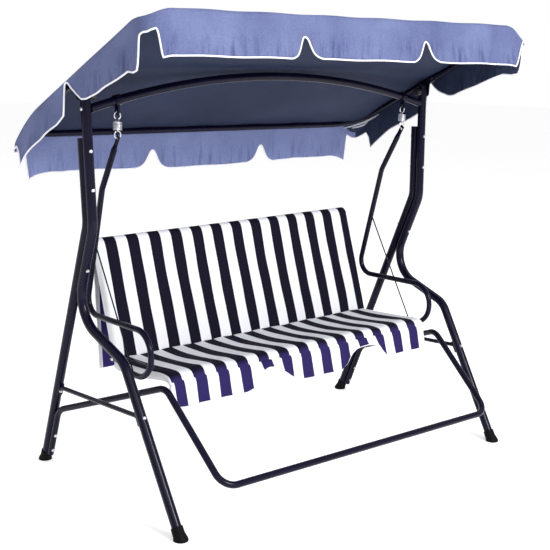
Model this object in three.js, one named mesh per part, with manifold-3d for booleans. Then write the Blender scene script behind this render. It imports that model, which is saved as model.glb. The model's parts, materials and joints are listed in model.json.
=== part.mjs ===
// Canopy swing bench. A free-standing steel frame of two leaning side frames, an arch bar and a front
// base tube carries a three-seat bench on two springs and a fabric canopy that tilts on two knobs.
// Millimetres. +X runs along the bench, -Y is the front, +Z is up, and the floor is Z = 0.
import * as THREE from 'three';
import { mergeVertices } from 'three/addons/utils/BufferGeometryUtils.js';
import Module from 'manifold-3d';

const wasm = await Module();
wasm.setup();

// ---- Driving dimensions ----------------------------------------------------------------------
const GAP = 0.3; // clearance between pieces that touch
const HALF_FOOT_SPACING = 725; // side frame plane at the floor
const SIDE_LEAN = 0.0256; // how far a side frame leans out per unit of height
const FOOT_Y = 430; // front and rear feet stand this far from the middle
const BOX_CENTRE_Y = -18.5; // middle of the whole object's box, moved onto the origin

const LEG_RADIUS = 16;
const TUBE_WALL = 1.5;
const BASE_RADIUS = 11;
const BRACE_RADIUS = 8;
const ARCH_RADIUS = 14;
const ARM_RADIUS = 10;
const SEAT_TUBE_RADIUS = 12.5;
const RAIL_RADIUS = 10;
const CANOPY_TUBE_RADIUS = 11;
const CLOTH = 3;
const CANOPY_CLOTH = 2;

const LEG_TOP_Z = 1338;
const FRONT_LEG_BEND = [22, 896];
const FRONT_LEG_HIP = [149, 593];
const FRONT_LEG_KNEE = [-138, 491];
const REAR_LEG_TOP_Z = 1176;
const REAR_LEG_BEND = [55, 904];
const LEG_LIFT = 15; // from the floor up the leg's centre line to its end

const ARCH_TOP_Z = 1370;
const ARCH_BEND_RADIUS = 2770;
const HANG_X = 645; // springs, hooks and arms hang in this plane
const HANG_Y = 35;
const TOP_PIVOT_Z = 1257;
const LOWER_PIVOT_Z = 1174;

const SEAT_HALF_WIDTH = 568; // centre lines of the seat's side tubes
const SEAT_RAIL_Z = 412;
const SEAT_TOP_Z = 441;
const SEAT_FRONT_Y = -150;
const BACK_FOOT = [210, 441]; // a point low on the back's tube, and the slope of the back
const BACK_SLOPE = 0.2507;
const BACK_TOP_Z = 803;
const COVER_HALF_WIDTH = 584;
const PAD = 14;
const VALANCE_HEM_Z = 332;

const CANOPY_HALF_LENGTH = 808;
const CANOPY_RAIL_X = 791;
const CANOPY_PIVOT = [37, 1312];
const STUD_RADIUS = 4;
const CANOPY_PLATE_X = 776; // inner face of a bracket's plate, just outside the leg
const CANOPY_FRONT = [-375, 1545]; // centre lines of the canopy's front and rear rails
const CANOPY_REAR = [449.7, 1165];
const CANOPY_CORNER = 130;
const CANOPY_LOFT = 18.5; // the cloth's top above the rails' centre line
const CANOPY_VALANCE = 148;
const CANOPY_CROWN = 30; // how much the arch bar's room lifts the middle of the cloth

// ---- Finishes --------------------------------------------------------------------------------
const finish = (color, roughness, metalness) =>
  new THREE.MeshStandardMaterial({ color, roughness, metalness });
const NAVY_STEEL = finish(0x16122b, 0.3, 0.5);
const ZINC = finish(0xd6d8de, 0.35, 0.8);
const BLACK_RUBBER = finish(0x121214, 0.85, 0);
const BLACK_PLASTIC = finish(0x17171b, 0.5, 0);
const BLUE_CLOTH = finish(0x4a4f8e, 0.9, 0);
const STRIPED_CLOTH = finish(0xc9c9dc, 0.9, 0);

// ---- Shapes ----------------------------------------------------------------------------------
const X_AXIS = new THREE.Vector3(1, 0, 0);
const Y_AXIS = new THREE.Vector3(0, 1, 0);
const ARC_STEP = 0.36; // radians of bend between two sections
const BORE_SIDES = 6; // a tube's inside and a bolt's hole are plain hexagons

/** A centre line sampled only at its stations, so a straight run costs one step. */
class StationPath extends THREE.Curve {
  constructor(stations) {
    super();
    this.stations = stations;
    this.steps = stations.length - 1;
  }
  getPointAt(u, target = new THREE.Vector3()) {
    return target.copy(this.stations[Math.round(u * this.steps)].point);
  }
  getTangentAt(u, target = new THREE.Vector3()) {
    return target.copy(this.stations[Math.round(u * this.steps)].tangent);
  }
}

/** The centre line of a bent tube: straight runs between corners, each corner rounded to its radius. */
function bentPath(corners, radii) {
  const stations = [];
  const add = (point, tangent) => {
    const last = stations.at(-1);
    if (!last || last.point.distanceTo(point) > 0.05) stations.push({ point, tangent });
  };
  add(corners[0].clone(), corners[1].clone().sub(corners[0]).normalize());
  for (let i = 1; i < corners.length - 1; i++) {
    const inward = corners[i].clone().sub(corners[i - 1]).normalize();
    const outward = corners[i + 1].clone().sub(corners[i]).normalize();
    const turn = inward.angleTo(outward);
    const radius = radii[i - 1];
    const side = outward.clone().addScaledVector(inward, -outward.dot(inward)).normalize();
    const centre = corners[i].clone()
      .addScaledVector(inward, -radius * Math.tan(turn / 2))
      .addScaledVector(side, radius);
    const steps = Math.ceil(turn / ARC_STEP);
    for (let k = 0; k <= steps; k++) {
      const angle = (turn * k) / steps;
      const point = centre.clone()
        .addScaledVector(side, -radius * Math.cos(angle))
        .addScaledVector(inward, radius * Math.sin(angle));
      const tangent = inward.clone().multiplyScalar(Math.cos(angle))
        .addScaledVector(side, Math.sin(angle));
      add(point, tangent.normalize());
    }
  }
  const end = corners.at(-1);
  add(end.clone(), end.clone().sub(corners.at(-2)).normalize());
  return new StationPath(stations);
}

/** A path through a list of points, each with the direction from its neighbour before to the one after. */
function pathThrough(points) {
  return new StationPath(points.map((point, i) => {
    const before = points[Math.max(i - 1, 0)];
    const after = points[Math.min(i + 1, points.length - 1)];
    return { point, tangent: after.clone().sub(before).normalize() };
  }));
}

function roundSection(radius, sides, Kind = THREE.Shape) {
  const points = [];
  for (let i = 0; i < sides; i++) {
    const angle = (2 * Math.PI * i) / sides;
    points.push(new THREE.Vector2(radius * Math.cos(angle), radius * Math.sin(angle)));
  }
  return new Kind(points);
}

function sweep(path, section) {
  return new THREE.ExtrudeGeometry(section, {
    steps: path.steps, extrudePath: path, bevelEnabled: false,
  });
}

function tube(path, radius, sides = 10) {
  const section = roundSection(radius, sides);
  section.holes.push(roundSection(radius - TUBE_WALL, BORE_SIDES, THREE.Path));
  return sweep(path, section);
}

/** A cylinder from one point to another. */
function cylinder(from, to, radius, sides = 12) {
  const length = from.distanceTo(to);
  const geometry = new THREE.CylinderGeometry(radius, radius, length, sides);
  const direction = to.clone().sub(from).normalize();
  geometry.applyQuaternion(new THREE.Quaternion().setFromUnitVectors(Y_AXIS, direction));
  const middle = from.clone().lerp(to, 0.5);
  return geometry.translate(middle.x, middle.y, middle.z);
}

/** A cylinder along X, centred on a point. */
function crossPin(centre, length, radius, sides = 12) {
  const half = X_AXIS.clone().multiplyScalar(length / 2);
  return cylinder(centre.clone().sub(half), centre.clone().add(half), radius, sides);
}

/** Turns a closed outline in the YZ plane into a plate or sheet that spans from x0 to x1. */
function slab(outline, x0, x1) {
  const geometry = new THREE.ExtrudeGeometry(new THREE.Shape(outline), {
    depth: x1 - x0, bevelEnabled: false,
  });
  geometry.applyMatrix4(new THREE.Matrix4().makeBasis(
    new THREE.Vector3(0, 1, 0), new THREE.Vector3(0, 0, 1), new THREE.Vector3(1, 0, 0)));
  return geometry.translate(x0, 0, 0);
}

function solid(geometry) {
  const plain = geometry.clone();
  plain.deleteAttribute('normal');
  plain.deleteAttribute('uv');
  const merged = mergeVertices(plain, 1e-4);
  return new wasm.Manifold(new wasm.Mesh({
    numProp: 3,
    vertProperties: merged.attributes.position.array,
    triVerts: new Uint32Array(merged.index.array),
  }));
}

function geometryOf(manifold) {
  const mesh = manifold.getMesh();
  const geometry = new THREE.BufferGeometry();
  geometry.setAttribute('position', new THREE.BufferAttribute(mesh.vertProperties, 3));
  geometry.setIndex(new THREE.BufferAttribute(mesh.triVerts, 1));
  geometry.computeVertexNormals();
  return geometry;
}

const cut = (geometry, ...tools) =>
  geometryOf(tools.reduce((body, tool) => body.subtract(solid(tool)), solid(geometry)));
const join = (geometry, ...more) =>
  geometryOf(more.reduce((body, part) => body.add(solid(part)), solid(geometry)));

function piece(group, name, geometry, material) {
  const mesh = new THREE.Mesh(geometry, material);
  mesh.name = name;
  group.add(mesh);
  return mesh;
}

const yz = (y, z) => new THREE.Vector2(y, z);
const lerp = (a, b, t) => a + (b - a) * t;

// ---- Fasteners: a round cap at each end of a shank --------------------------------------------
const SHANK_RADIUS = 3;
const CAP_RADIUS = 6.5;
const CAP_HEIGHT = 5;

function boltGeometry(grip) {
  const half = grip / 2 + GAP;
  return new THREE.LatheGeometry([
    [0, -half - CAP_HEIGHT], [CAP_RADIUS * 0.7, -half - CAP_HEIGHT * 0.75], [CAP_RADIUS, -half],
    [SHANK_RADIUS, -half], [SHANK_RADIUS, half],
    [CAP_RADIUS, half], [CAP_RADIUS * 0.7, half + CAP_HEIGHT * 0.75], [0, half + CAP_HEIGHT],
  ].map(([r, y]) => new THREE.Vector2(r, y)), 8);
}

/** Adds a bolt from one outer face to the other, both given on its centre line. */
function bolt(group, name, from, to) {
  const mesh = piece(group, name, boltGeometry(from.distanceTo(to)), ZINC);
  mesh.position.copy(from).lerp(to, 0.5);
  mesh.quaternion.setFromUnitVectors(Y_AXIS, to.clone().sub(from).normalize());
  return mesh;
}

/** The hole for such a bolt, long enough to run past both faces. */
function boltHole(from, to) {
  const along = to.clone().sub(from).normalize().multiplyScalar(6);
  return cylinder(from.clone().sub(along), to.clone().add(along), SHANK_RADIUS + 0.8, BORE_SIDES);
}

// ---- Side frames: each front leg and rear leg bolted back to back, a brace and two feet ---------
const onSide = (side, y, z) => new THREE.Vector3(side * (HALF_FOOT_SPACING + SIDE_LEAN * z), y, z);

/** Straight centre line between two [y, z] points, read at a height. */
const lineAt = (a, b, z) => lerp(a[0], b[0], (z - a[1]) / (b[1] - a[1]));
const FRONT_TOP = [37.3, LEG_TOP_Z];
const REAR_TOP = [64.5, REAR_LEG_TOP_Z];
const frontUpperY = (z) => lineAt(FRONT_TOP, FRONT_LEG_BEND, z);
const frontLowerY = (z) => lineAt(FRONT_LEG_KNEE, [-FOOT_Y, 0], z);
const frontMiddleY = (z) => lineAt(FRONT_LEG_BEND, FRONT_LEG_HIP, z);
const rearUpperY = (z) => lineAt(REAR_TOP, REAR_LEG_BEND, z);
const rearLowerY = (z) => lineAt(REAR_LEG_BEND, [FOOT_Y, 0], z);

/** Unit direction of a [y, z] line, pointing down. */
function downward(a, b) {
  return new THREE.Vector3(0, b[0] - a[0], b[1] - a[1]).normalize();
}
const FRONT_LOWER_DOWN = downward(FRONT_LEG_KNEE, [-FOOT_Y, 0]);
const REAR_LOWER_DOWN = downward(REAR_LEG_BEND, [FOOT_Y, 0]);
/** The square direction out of a leg, towards the rear. */
const rearward = (down) => new THREE.Vector3(0, -down.z, down.y);

/** Ends of a bolt that runs fore and aft through a leg, and through what lies ahead of or behind it. */
function throughLeg(side, y, z, down, ahead, behind) {
  const out = rearward(down);
  const centre = onSide(side, y, z);
  return [centre.clone().addScaledVector(out, -ahead), centre.clone().addScaledVector(out, behind)];
}

const BRACE_FRONT_Z = 343;
const BRACE_REAR_Z = 312;
const TAB_THICKNESS = 3;
const TAB_DROP = 15; // the bolt sits this far down the leg from the brace's centre line

function sideBolts(side) {
  const pair = 2 * LEG_RADIUS + 1; // the rear leg's centre lies this far behind the front leg's
  const down = downward(FRONT_TOP, FRONT_LEG_BEND);
  const middleDown = downward(FRONT_LEG_BEND, FRONT_LEG_HIP);
  const legBolt = (y, z, dir) => throughLeg(side, y, z, dir, LEG_RADIUS, pair + LEG_RADIUS);
  const baseBolt = (z) => throughLeg(side, rearLowerY(z), z, REAR_LOWER_DOWN,
    LEG_RADIUS + 2 * BASE_RADIUS + 0.6, LEG_RADIUS);
  const tabReach = LEG_RADIUS + TAB_THICKNESS + GAP;
  const frontTabZ = BRACE_FRONT_Z + TAB_DROP * FRONT_LOWER_DOWN.z;
  const rearTabZ = BRACE_REAR_Z + TAB_DROP * REAR_LOWER_DOWN.z;
  return {
    leg_bolt_upper: legBolt(frontUpperY(1138), 1138, down),
    leg_bolt_middle: legBolt(frontUpperY(1016), 1016, down),
    leg_bolt_lower: legBolt(frontMiddleY(757), 757, middleDown),
    base_bolt_upper: baseBolt(128),
    base_bolt_lower: baseBolt(66),
    brace_bolt_front: throughLeg(side, frontLowerY(frontTabZ), frontTabZ, FRONT_LOWER_DOWN,
      LEG_RADIUS, tabReach),
    brace_bolt_rear: throughLeg(side, rearLowerY(rearTabZ), rearTabZ, REAR_LOWER_DOWN,
      tabReach, LEG_RADIUS),
  };
}

/** Where a leg's tube ends inside its foot, on the line from the floor to a point up the leg. */
function legEnd(side, footY, upTheLeg, lift = LEG_LIFT) {
  const sole = onSide(side, footY, 0);
  return sole.addScaledVector(onSide(side, ...upTheLeg).sub(sole).normalize(), lift);
}

function frontLeg(side, bolts, pivotHole, archBolt) {
  const path = bentPath([
    onSide(side, ...FRONT_TOP), onSide(side, ...FRONT_LEG_BEND), onSide(side, ...FRONT_LEG_HIP),
    onSide(side, ...FRONT_LEG_KNEE), legEnd(side, -FOOT_Y, FRONT_LEG_KNEE),
  ], [120, 115, 90]);
  const holes = ['leg_bolt_upper', 'leg_bolt_middle', 'leg_bolt_lower', 'brace_bolt_front'];
  return cut(tube(path, LEG_RADIUS, 12), ...holes.map((name) => boltHole(...bolts[name])),
    pivotHole, boltHole(...archBolt));
}

function rearLeg(side, bolts) {
  const path = bentPath([
    onSide(side, ...REAR_TOP), onSide(side, ...REAR_LEG_BEND),
    legEnd(side, FOOT_Y, REAR_LEG_BEND),
  ], [87]);
  const holes = ['leg_bolt_upper', 'leg_bolt_middle', 'leg_bolt_lower', 'brace_bolt_rear',
    'base_bolt_upper', 'base_bolt_lower'];
  return cut(tube(path, LEG_RADIUS, 12), ...holes.map((name) => boltHole(...bolts[name])));
}

/** A rubber boot: a flared sole flat on the floor and a sleeve along the leg, over the leg's end. */
function foot(side, footY, upTheLeg) {
  const along = (lift) => legEnd(side, footY, upTheLeg, lift);
  const flare = new THREE.CylinderGeometry(LEG_RADIUS + 5, LEG_RADIUS + 8, 12, 14);
  flare.rotateX(Math.PI / 2).translate(side * HALF_FOOT_SPACING, footY, 6);
  const sleeve = cylinder(along(14), along(42), LEG_RADIUS + 3.5, 12);
  const socket = cylinder(along(LEG_LIFT - 0.6), along(60), LEG_RADIUS + 1, 12);
  return cut(join(flare, sleeve), socket);
}

/** A small tube between the legs, with a flat tab at each end that lies on the leg. */
function brace(side, bolts) {
  const reach = LEG_RADIUS + TAB_THICKNESS / 2 + GAP;
  const frontTab = onSide(side, frontLowerY(BRACE_FRONT_Z), BRACE_FRONT_Z)
    .addScaledVector(rearward(FRONT_LOWER_DOWN), reach);
  const rearTab = onSide(side, rearLowerY(BRACE_REAR_Z), BRACE_REAR_Z)
    .addScaledVector(rearward(REAR_LOWER_DOWN), -reach);
  const along = rearTab.clone().sub(frontTab).normalize();
  const tab = (centre, down) => {
    const box = new THREE.BoxGeometry(20, TAB_THICKNESS, 46);
    box.applyQuaternion(new THREE.Quaternion().setFromUnitVectors(new THREE.Vector3(0, 0, -1), down));
    const middle = centre.clone().addScaledVector(down, 8);
    return box.translate(middle.x, middle.y, middle.z);
  };
  const bar = cylinder(frontTab.clone().addScaledVector(along, 3),
    rearTab.clone().addScaledVector(along, -3), BRACE_RADIUS, 8);
  const body = join(bar, tab(frontTab, FRONT_LOWER_DOWN), tab(rearTab, REAR_LOWER_DOWN));
  return cut(body, boltHole(...bolts.brace_bolt_front), boltHole(...bolts.brace_bolt_rear));
}

// ---- Base tube: one bent tube, bolted ahead of the rear legs, that crosses the front -------------
function baseTube(bolts) {
  const ahead = (2 * BASE_RADIUS + 2 * LEG_RADIUS) / 2 + 0.6;
  const shift = rearward(REAR_LOWER_DOWN).multiplyScalar(-ahead);
  const corners = (side) => [
    onSide(side, rearLowerY(44), 44).add(shift),
    onSide(side, rearLowerY(228), 228).add(shift),
    new THREE.Vector3(side * 626, -202, 404),
    new THREE.Vector3(side * 609, -490, 157),
  ];
  const path = bentPath([...corners(-1), ...corners(1).reverse()], [70, 50, 55, 55, 50, 70]);
  const holes = bolts.flatMap((set) => [set.base_bolt_upper, set.base_bolt_lower]);
  return cut(tube(path, BASE_RADIUS), ...holes.map((ends) => boltHole(...ends)));
}

// ---- Arch bar between the leg tops, with an eye plate for each spring ----------------------------
const archZ = (x) => ARCH_TOP_Z - ARCH_BEND_RADIUS + Math.sqrt(ARCH_BEND_RADIUS ** 2 - x * x);
const ARCH_END_X = 742;

function archBar(archBolts) {
  const half = Math.asin(ARCH_END_X / ARCH_BEND_RADIUS);
  const steps = 14;
  const stations = Array.from({ length: steps + 1 }, (_, k) => {
    const angle = half * (2 * k / steps - 1);
    const point = new THREE.Vector3(ARCH_BEND_RADIUS * Math.sin(angle), HANG_Y,
      ARCH_TOP_Z - ARCH_BEND_RADIUS * (1 - Math.cos(angle)));
    return { point, tangent: new THREE.Vector3(Math.cos(angle), 0, -Math.sin(angle)) };
  });
  const legs = [-1, 1].map((side) => cylinder(onSide(side, frontUpperY(1180), 1180),
    onSide(side, frontUpperY(1330), 1330), LEG_RADIUS + 2 * GAP, 12));
  return cut(tube(new StationPath(stations), ARCH_RADIUS), ...legs,
    ...archBolts.map((ends) => boltHole(...ends)));
}

const EYE_HOLE_RADIUS = 5.5;
const WIRE_RADIUS = 2;
/** A hole that a hook's wire hangs in touches the wire on one side only. */
const HOLE_OFFSET = EYE_HOLE_RADIUS - WIRE_RADIUS - 0.9;

function springEye(side) {
  const z = archZ(HANG_X);
  const slope = Math.asin(HANG_X / ARCH_BEND_RADIUS);
  const along = new THREE.Vector3(Math.cos(slope), 0, -side * Math.sin(slope));
  const centre = new THREE.Vector3(side * HANG_X, HANG_Y, z);
  const round = (r, half) => cylinder(centre.clone().addScaledVector(along, -half),
    centre.clone().addScaledVector(along, half), r, 12);
  const plate = slab([
    yz(HANG_Y - 12, z - 10), yz(HANG_Y - 11, TOP_PIVOT_Z - 4), yz(HANG_Y - 6, TOP_PIVOT_Z - 9),
    yz(HANG_Y + 6, TOP_PIVOT_Z - 9), yz(HANG_Y + 11, TOP_PIVOT_Z - 4), yz(HANG_Y + 12, z - 10),
  ], side * HANG_X - 2.5, side * HANG_X + 2.5);
  const hole = crossPin(new THREE.Vector3(side * HANG_X, HANG_Y, TOP_PIVOT_Z + HOLE_OFFSET), 12,
    EYE_HOLE_RADIUS, 10);
  return cut(join(round(ARCH_RADIUS + 4, 11), plate), round(ARCH_RADIUS + 1.3, 20), hole);
}

// ---- Springs: a coil with a ring hook on top, and a lower hook that draws the coil down ----------
const COIL_RADIUS = 13;
const COIL_TURNS = 6;
const COIL_BOTTOM_Z = 1201;
const COIL_PITCH = 4.6;
const RING_RADIUS = 11.5;

/** Points round a hook's ring in the XZ plane, from one angle to another; 0 is its lowest point. */
function ringPoints(x, y, centreZ, from, to, steps) {
  return Array.from({ length: steps + 1 }, (_, k) => {
    const angle = lerp(from, to, k / steps);
    return new THREE.Vector3(x + RING_RADIUS * Math.sin(angle), y,
      centreZ - RING_RADIUS * Math.cos(angle));
  });
}

function springCoil(side) {
  const x = side * HANG_X;
  const points = [];
  const perTurn = 8;
  for (let k = 0; k <= COIL_TURNS * perTurn; k++) {
    const angle = (2 * Math.PI * k) / perTurn;
    points.push(new THREE.Vector3(x + COIL_RADIUS * Math.cos(angle),
      HANG_Y + COIL_RADIUS * Math.sin(angle), COIL_BOTTOM_Z + (COIL_PITCH * k) / perTurn));
  }
  const top = COIL_BOTTOM_Z + COIL_PITCH * COIL_TURNS;
  points.push(new THREE.Vector3(x + 12, HANG_Y + 6, top + 3.4));
  points.push(new THREE.Vector3(x + 10.8, HANG_Y + 2.4, top + 8));
  const centreZ = TOP_PIVOT_Z - RING_RADIUS;
  points.push(...ringPoints(x, HANG_Y, centreZ, 1.25, 5.5, 12));
  return sweep(pathThrough(points), roundSection(WIRE_RADIUS, 5));
}

function springHook(side) {
  const x = side * HANG_X;
  const centreZ = LOWER_PIVOT_Z + RING_RADIUS;
  const points = [
    new THREE.Vector3(x, HANG_Y, COIL_BOTTOM_Z + 15), new THREE.Vector3(x, HANG_Y, COIL_BOTTOM_Z + 6),
    new THREE.Vector3(x - 1, HANG_Y, COIL_BOTTOM_Z - 1),
    ...ringPoints(x, HANG_Y, centreZ, -2.7, 2.1, 12),
  ];
  const wire = sweep(pathThrough(points), roundSection(WIRE_RADIUS, 6));
  const plug = cylinder(new THREE.Vector3(x, HANG_Y, COIL_BOTTOM_Z + 10),
    new THREE.Vector3(x, HANG_Y, COIL_BOTTOM_Z + 20), 8, 10);
  return join(wire, plug);
}

// ---- Arms: one bent tube each side, from the spring's hook down round the armrest to the seat ----
const ARM_KNEE = 78; // radius of the front loop
const ARMREST_Z = 571;
const ARM_END_X = SEAT_HALF_WIDTH + SEAT_TUBE_RADIUS + ARM_RADIUS + 0.6;
const ARM_LOW_Z = ARMREST_Z - 2 * ARM_KNEE;
const HOOK_HOLE = [HANG_Y, LOWER_PIVOT_Z - HOLE_OFFSET];
const ARM_SHOULDER = [136, 1003];
const ROD_TOP = [187, 815];
const ROD_FOOT = [-47, ARM_LOW_Z];

function armTubePath(side) {
  const at = (y, z, x = HANG_X) => new THREE.Vector3(side * x, y, z);
  const start = at(lineAt(HOOK_HOLE, ARM_SHOULDER, 1152), 1152);
  return bentPath([
    start, at(...ARM_SHOULDER), at(255, 566), at(-150, ARMREST_Z), at(-150, ARM_LOW_Z),
    at(10, ARM_LOW_Z), at(95, SEAT_RAIL_Z, ARM_END_X), at(180, SEAT_RAIL_Z, ARM_END_X),
  ], [60, 55, ARM_KNEE - 0.1, ARM_KNEE - 0.1, 55, 55]);
}

const rodEnd = (side, [y, z]) => new THREE.Vector3(side * HANG_X, y, z);
const rodDirection = new THREE.Vector3(0, ROD_FOOT[0] - ROD_TOP[0], ROD_FOOT[1] - ROD_TOP[1]).normalize();
const ROD_RADIUS = 2.5;
const ROD_HEAD_REACH = [20, 16]; // from the arm's centre line to a head, top and foot

function armBolts(side) {
  const ends = (y) => [
    new THREE.Vector3(side * (SEAT_HALF_WIDTH - SEAT_TUBE_RADIUS), y, SEAT_RAIL_Z),
    new THREE.Vector3(side * (ARM_END_X + ARM_RADIUS), y, SEAT_RAIL_Z),
  ];
  return { arm_bolt_front: ends(120), arm_bolt_rear: ends(162) };
}

function arm(side, bolts) {
  const tongueLine = new THREE.Vector3(0, ARM_SHOULDER[0] - HOOK_HOLE[0],
    ARM_SHOULDER[1] - HOOK_HOLE[1]).normalize();
  const across = new THREE.Vector3(0, -tongueLine.z, tongueLine.y);
  const corner = (along, over) => {
    const p = rodEnd(side, HOOK_HOLE).addScaledVector(tongueLine, along).addScaledVector(across, over);
    return yz(p.y, p.z);
  };
  const tongue = slab([
    corner(-11, -5), corner(-11, 5), corner(-4, 10), corner(40, 9.5), corner(40, -9.5), corner(-4, -10),
  ].reverse(), side * HANG_X - 2.5, side * HANG_X + 2.5);
  const hook = crossPin(rodEnd(side, HOOK_HOLE), 12, EYE_HOLE_RADIUS, 10);
  const rod = cylinder(rodEnd(side, ROD_TOP).addScaledVector(rodDirection, -30),
    rodEnd(side, ROD_FOOT).addScaledVector(rodDirection, 30), ROD_RADIUS + 1, BORE_SIDES);
  return cut(join(tube(armTubePath(side), ARM_RADIUS), tongue), hook, rod,
    ...Object.values(bolts).map((ends) => boltHole(...ends)));
}

/** A thin rod that stays the armrest: through the arm above, the armrest, and the arm below. */
function stayRod(side) {
  const top = rodEnd(side, ROD_TOP).addScaledVector(rodDirection, -ROD_HEAD_REACH[0]);
  const low = rodEnd(side, ROD_FOOT).addScaledVector(rodDirection, ROD_HEAD_REACH[1]);
  const head = (at, sign) => cylinder(at.clone().addScaledVector(rodDirection, -0.2 * sign),
    at.clone().addScaledVector(rodDirection, 3.5 * sign), 4.5, 8);
  return join(cylinder(top, low, ROD_RADIUS, 8), head(top, -1), head(low, 1));
}

// ---- Seat: two L-shaped side tubes, three cross rails, and the striped cover ---------------------
const backY = (z) => BACK_FOOT[0] + BACK_SLOPE * (z - BACK_FOOT[1]);
const REAR_RAIL_Z = 452;
const TOP_RAIL_Z = 790;
const FRONT_RAIL_HALF = 580;

function railBolts(side) {
  const outer = side * (SEAT_HALF_WIDTH + SEAT_TUBE_RADIUS);
  const inner = side * (SEAT_HALF_WIDTH - SEAT_TUBE_RADIUS - 14);
  return [
    new THREE.Vector3(inner, backY(REAR_RAIL_Z), REAR_RAIL_Z),
    new THREE.Vector3(outer, backY(REAR_RAIL_Z), REAR_RAIL_Z),
  ];
}

function seatSide(side, bolts) {
  const x = side * SEAT_HALF_WIDTH;
  const path = bentPath([
    new THREE.Vector3(x, SEAT_FRONT_Y + 4, SEAT_RAIL_Z),
    new THREE.Vector3(x, backY(SEAT_RAIL_Z), SEAT_RAIL_Z),
    new THREE.Vector3(x, backY(BACK_TOP_Z - 5), BACK_TOP_Z - 5),
  ], [45]);
  const frontRail = cylinder(new THREE.Vector3(-FRONT_RAIL_HALF - 20, SEAT_FRONT_Y, SEAT_RAIL_Z),
    new THREE.Vector3(FRONT_RAIL_HALF + 20, SEAT_FRONT_Y, SEAT_RAIL_Z), SEAT_TUBE_RADIUS + GAP, 10);
  return cut(tube(path, SEAT_TUBE_RADIUS), frontRail,
    ...[...Object.values(bolts), railBolts(side)].map((ends) => boltHole(...ends)));
}

function crossRail(y, z, half, radius) {
  return tube(bentPath([new THREE.Vector3(-half, y, z), new THREE.Vector3(half, y, z)], []), radius);
}

/** The bolt for the rear rail screws into its end, so only its outer cap shows. */
function railScrew(side) {
  const [inner, outer] = railBolts(side);
  const length = inner.distanceTo(outer);
  return new THREE.LatheGeometry([
    [0, -length / 2], [SHANK_RADIUS, -length / 2], [SHANK_RADIUS, length / 2 + GAP],
    [CAP_RADIUS, length / 2 + GAP], [CAP_RADIUS * 0.7, length / 2 + GAP + 2.4],
    [0, length / 2 + GAP + 3],
  ].map(([r, y]) => new THREE.Vector2(r, y)), 8);
}

/** Scalloped cutters under a hem: a tongue of air between two scallops, arched on top. */
function notchOutline(centre, width, hem, height) {
  const half = width / 2;
  const shape = new THREE.Shape();
  shape.moveTo(centre - half, hem - 20);
  shape.lineTo(centre + half, hem - 20);
  shape.lineTo(centre + half, hem);
  shape.quadraticCurveTo(centre + half * 0.4, hem + height * 0.15, centre + half * 0.16, hem + height * 0.7);
  shape.lineTo(centre, hem + height);
  shape.lineTo(centre - half * 0.16, hem + height * 0.7);
  shape.quadraticCurveTo(centre - half * 0.4, hem + height * 0.15, centre - half, hem);
  return shape;
}

/** Cuts a notch outline through a wall that faces the front or rear (outline in XZ). */
function notchAcross(outline, y0, y1) {
  const geometry = new THREE.ExtrudeGeometry(outline, { depth: y1 - y0, bevelEnabled: false, curveSegments: 3 });
  return geometry.rotateX(Math.PI / 2).translate(0, y1, 0);
}

const CREASE_Y = 158;
const VALANCE_FLARE = 20;

function backCover() {
  const inFront = (z, distance) => backY(z) - distance * Math.hypot(1, BACK_SLOPE);
  const inner = SEAT_TUBE_RADIUS + 1;
  const outer = inner + PAD;
  const low = SEAT_TOP_Z + 5;
  const outline = [
    yz(CREASE_Y, low), yz(inFront(BACK_TOP_Z, outer), BACK_TOP_Z),
    yz(inFront(BACK_TOP_Z, outer) + 5, BACK_TOP_Z + 9), yz(backY(BACK_TOP_Z) - 8, BACK_TOP_Z + 14),
    yz(backY(BACK_TOP_Z) + 12, BACK_TOP_Z + 11), yz(322, BACK_TOP_Z - 3), yz(302, 728), yz(268, 362),
    yz(265, 362), yz(298.4, 728), yz(316.5, BACK_TOP_Z - 3), yz(backY(BACK_TOP_Z) + 8, BACK_TOP_Z + 2),
    yz(inFront(BACK_TOP_Z, inner), BACK_TOP_Z + 2), yz(CREASE_Y + PAD, low),
  ];
  return slab(outline.reverse(), -COVER_HALF_WIDTH, COVER_HALF_WIDTH);
}

function seatCover() {
  const front = SEAT_FRONT_Y - SEAT_TUBE_RADIUS - 1.2;
  const outline = [
    yz(182, SEAT_TOP_Z - 1), yz(SEAT_FRONT_Y + 8, SEAT_TOP_Z), yz(SEAT_FRONT_Y - 6, SEAT_TOP_Z - 3),
    yz(front - 1.5, SEAT_TOP_Z - 13), yz(front - CLOTH, SEAT_RAIL_Z - 2), yz(front - CLOTH - VALANCE_FLARE, VALANCE_HEM_Z),
    yz(front - VALANCE_FLARE, VALANCE_HEM_Z), yz(front, SEAT_RAIL_Z - 2), yz(front + 2, SEAT_RAIL_Z + 7),
    yz(SEAT_FRONT_Y - 3, SEAT_TOP_Z - PAD), yz(166, SEAT_TOP_Z - PAD),
  ];
  const sheet = slab(outline, -COVER_HALF_WIDTH, COVER_HALF_WIDTH);
  const notch = (x) => notchAcross(notchOutline(x, 200, VALANCE_HEM_Z, 64), front - 30, front + 6);
  return cut(sheet, notch(-105), notch(285));
}

// ---- Canopy: front and rear bent rails in two tilting brackets, and the hung cloth ---------------
const canopyRailZ = (y) => lerp(CANOPY_FRONT[1], CANOPY_REAR[1],
  (y - CANOPY_FRONT[0]) / (CANOPY_REAR[0] - CANOPY_FRONT[0]));
const railDirection = new THREE.Vector3(0, CANOPY_REAR[0] - CANOPY_FRONT[0],
  CANOPY_REAR[1] - CANOPY_FRONT[1]).normalize();
const railPoint = (side, along) => new THREE.Vector3(side * CANOPY_RAIL_X, CANOPY_PIVOT[0],
  canopyRailZ(CANOPY_PIVOT[0])).addScaledVector(railDirection, along);

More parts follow.
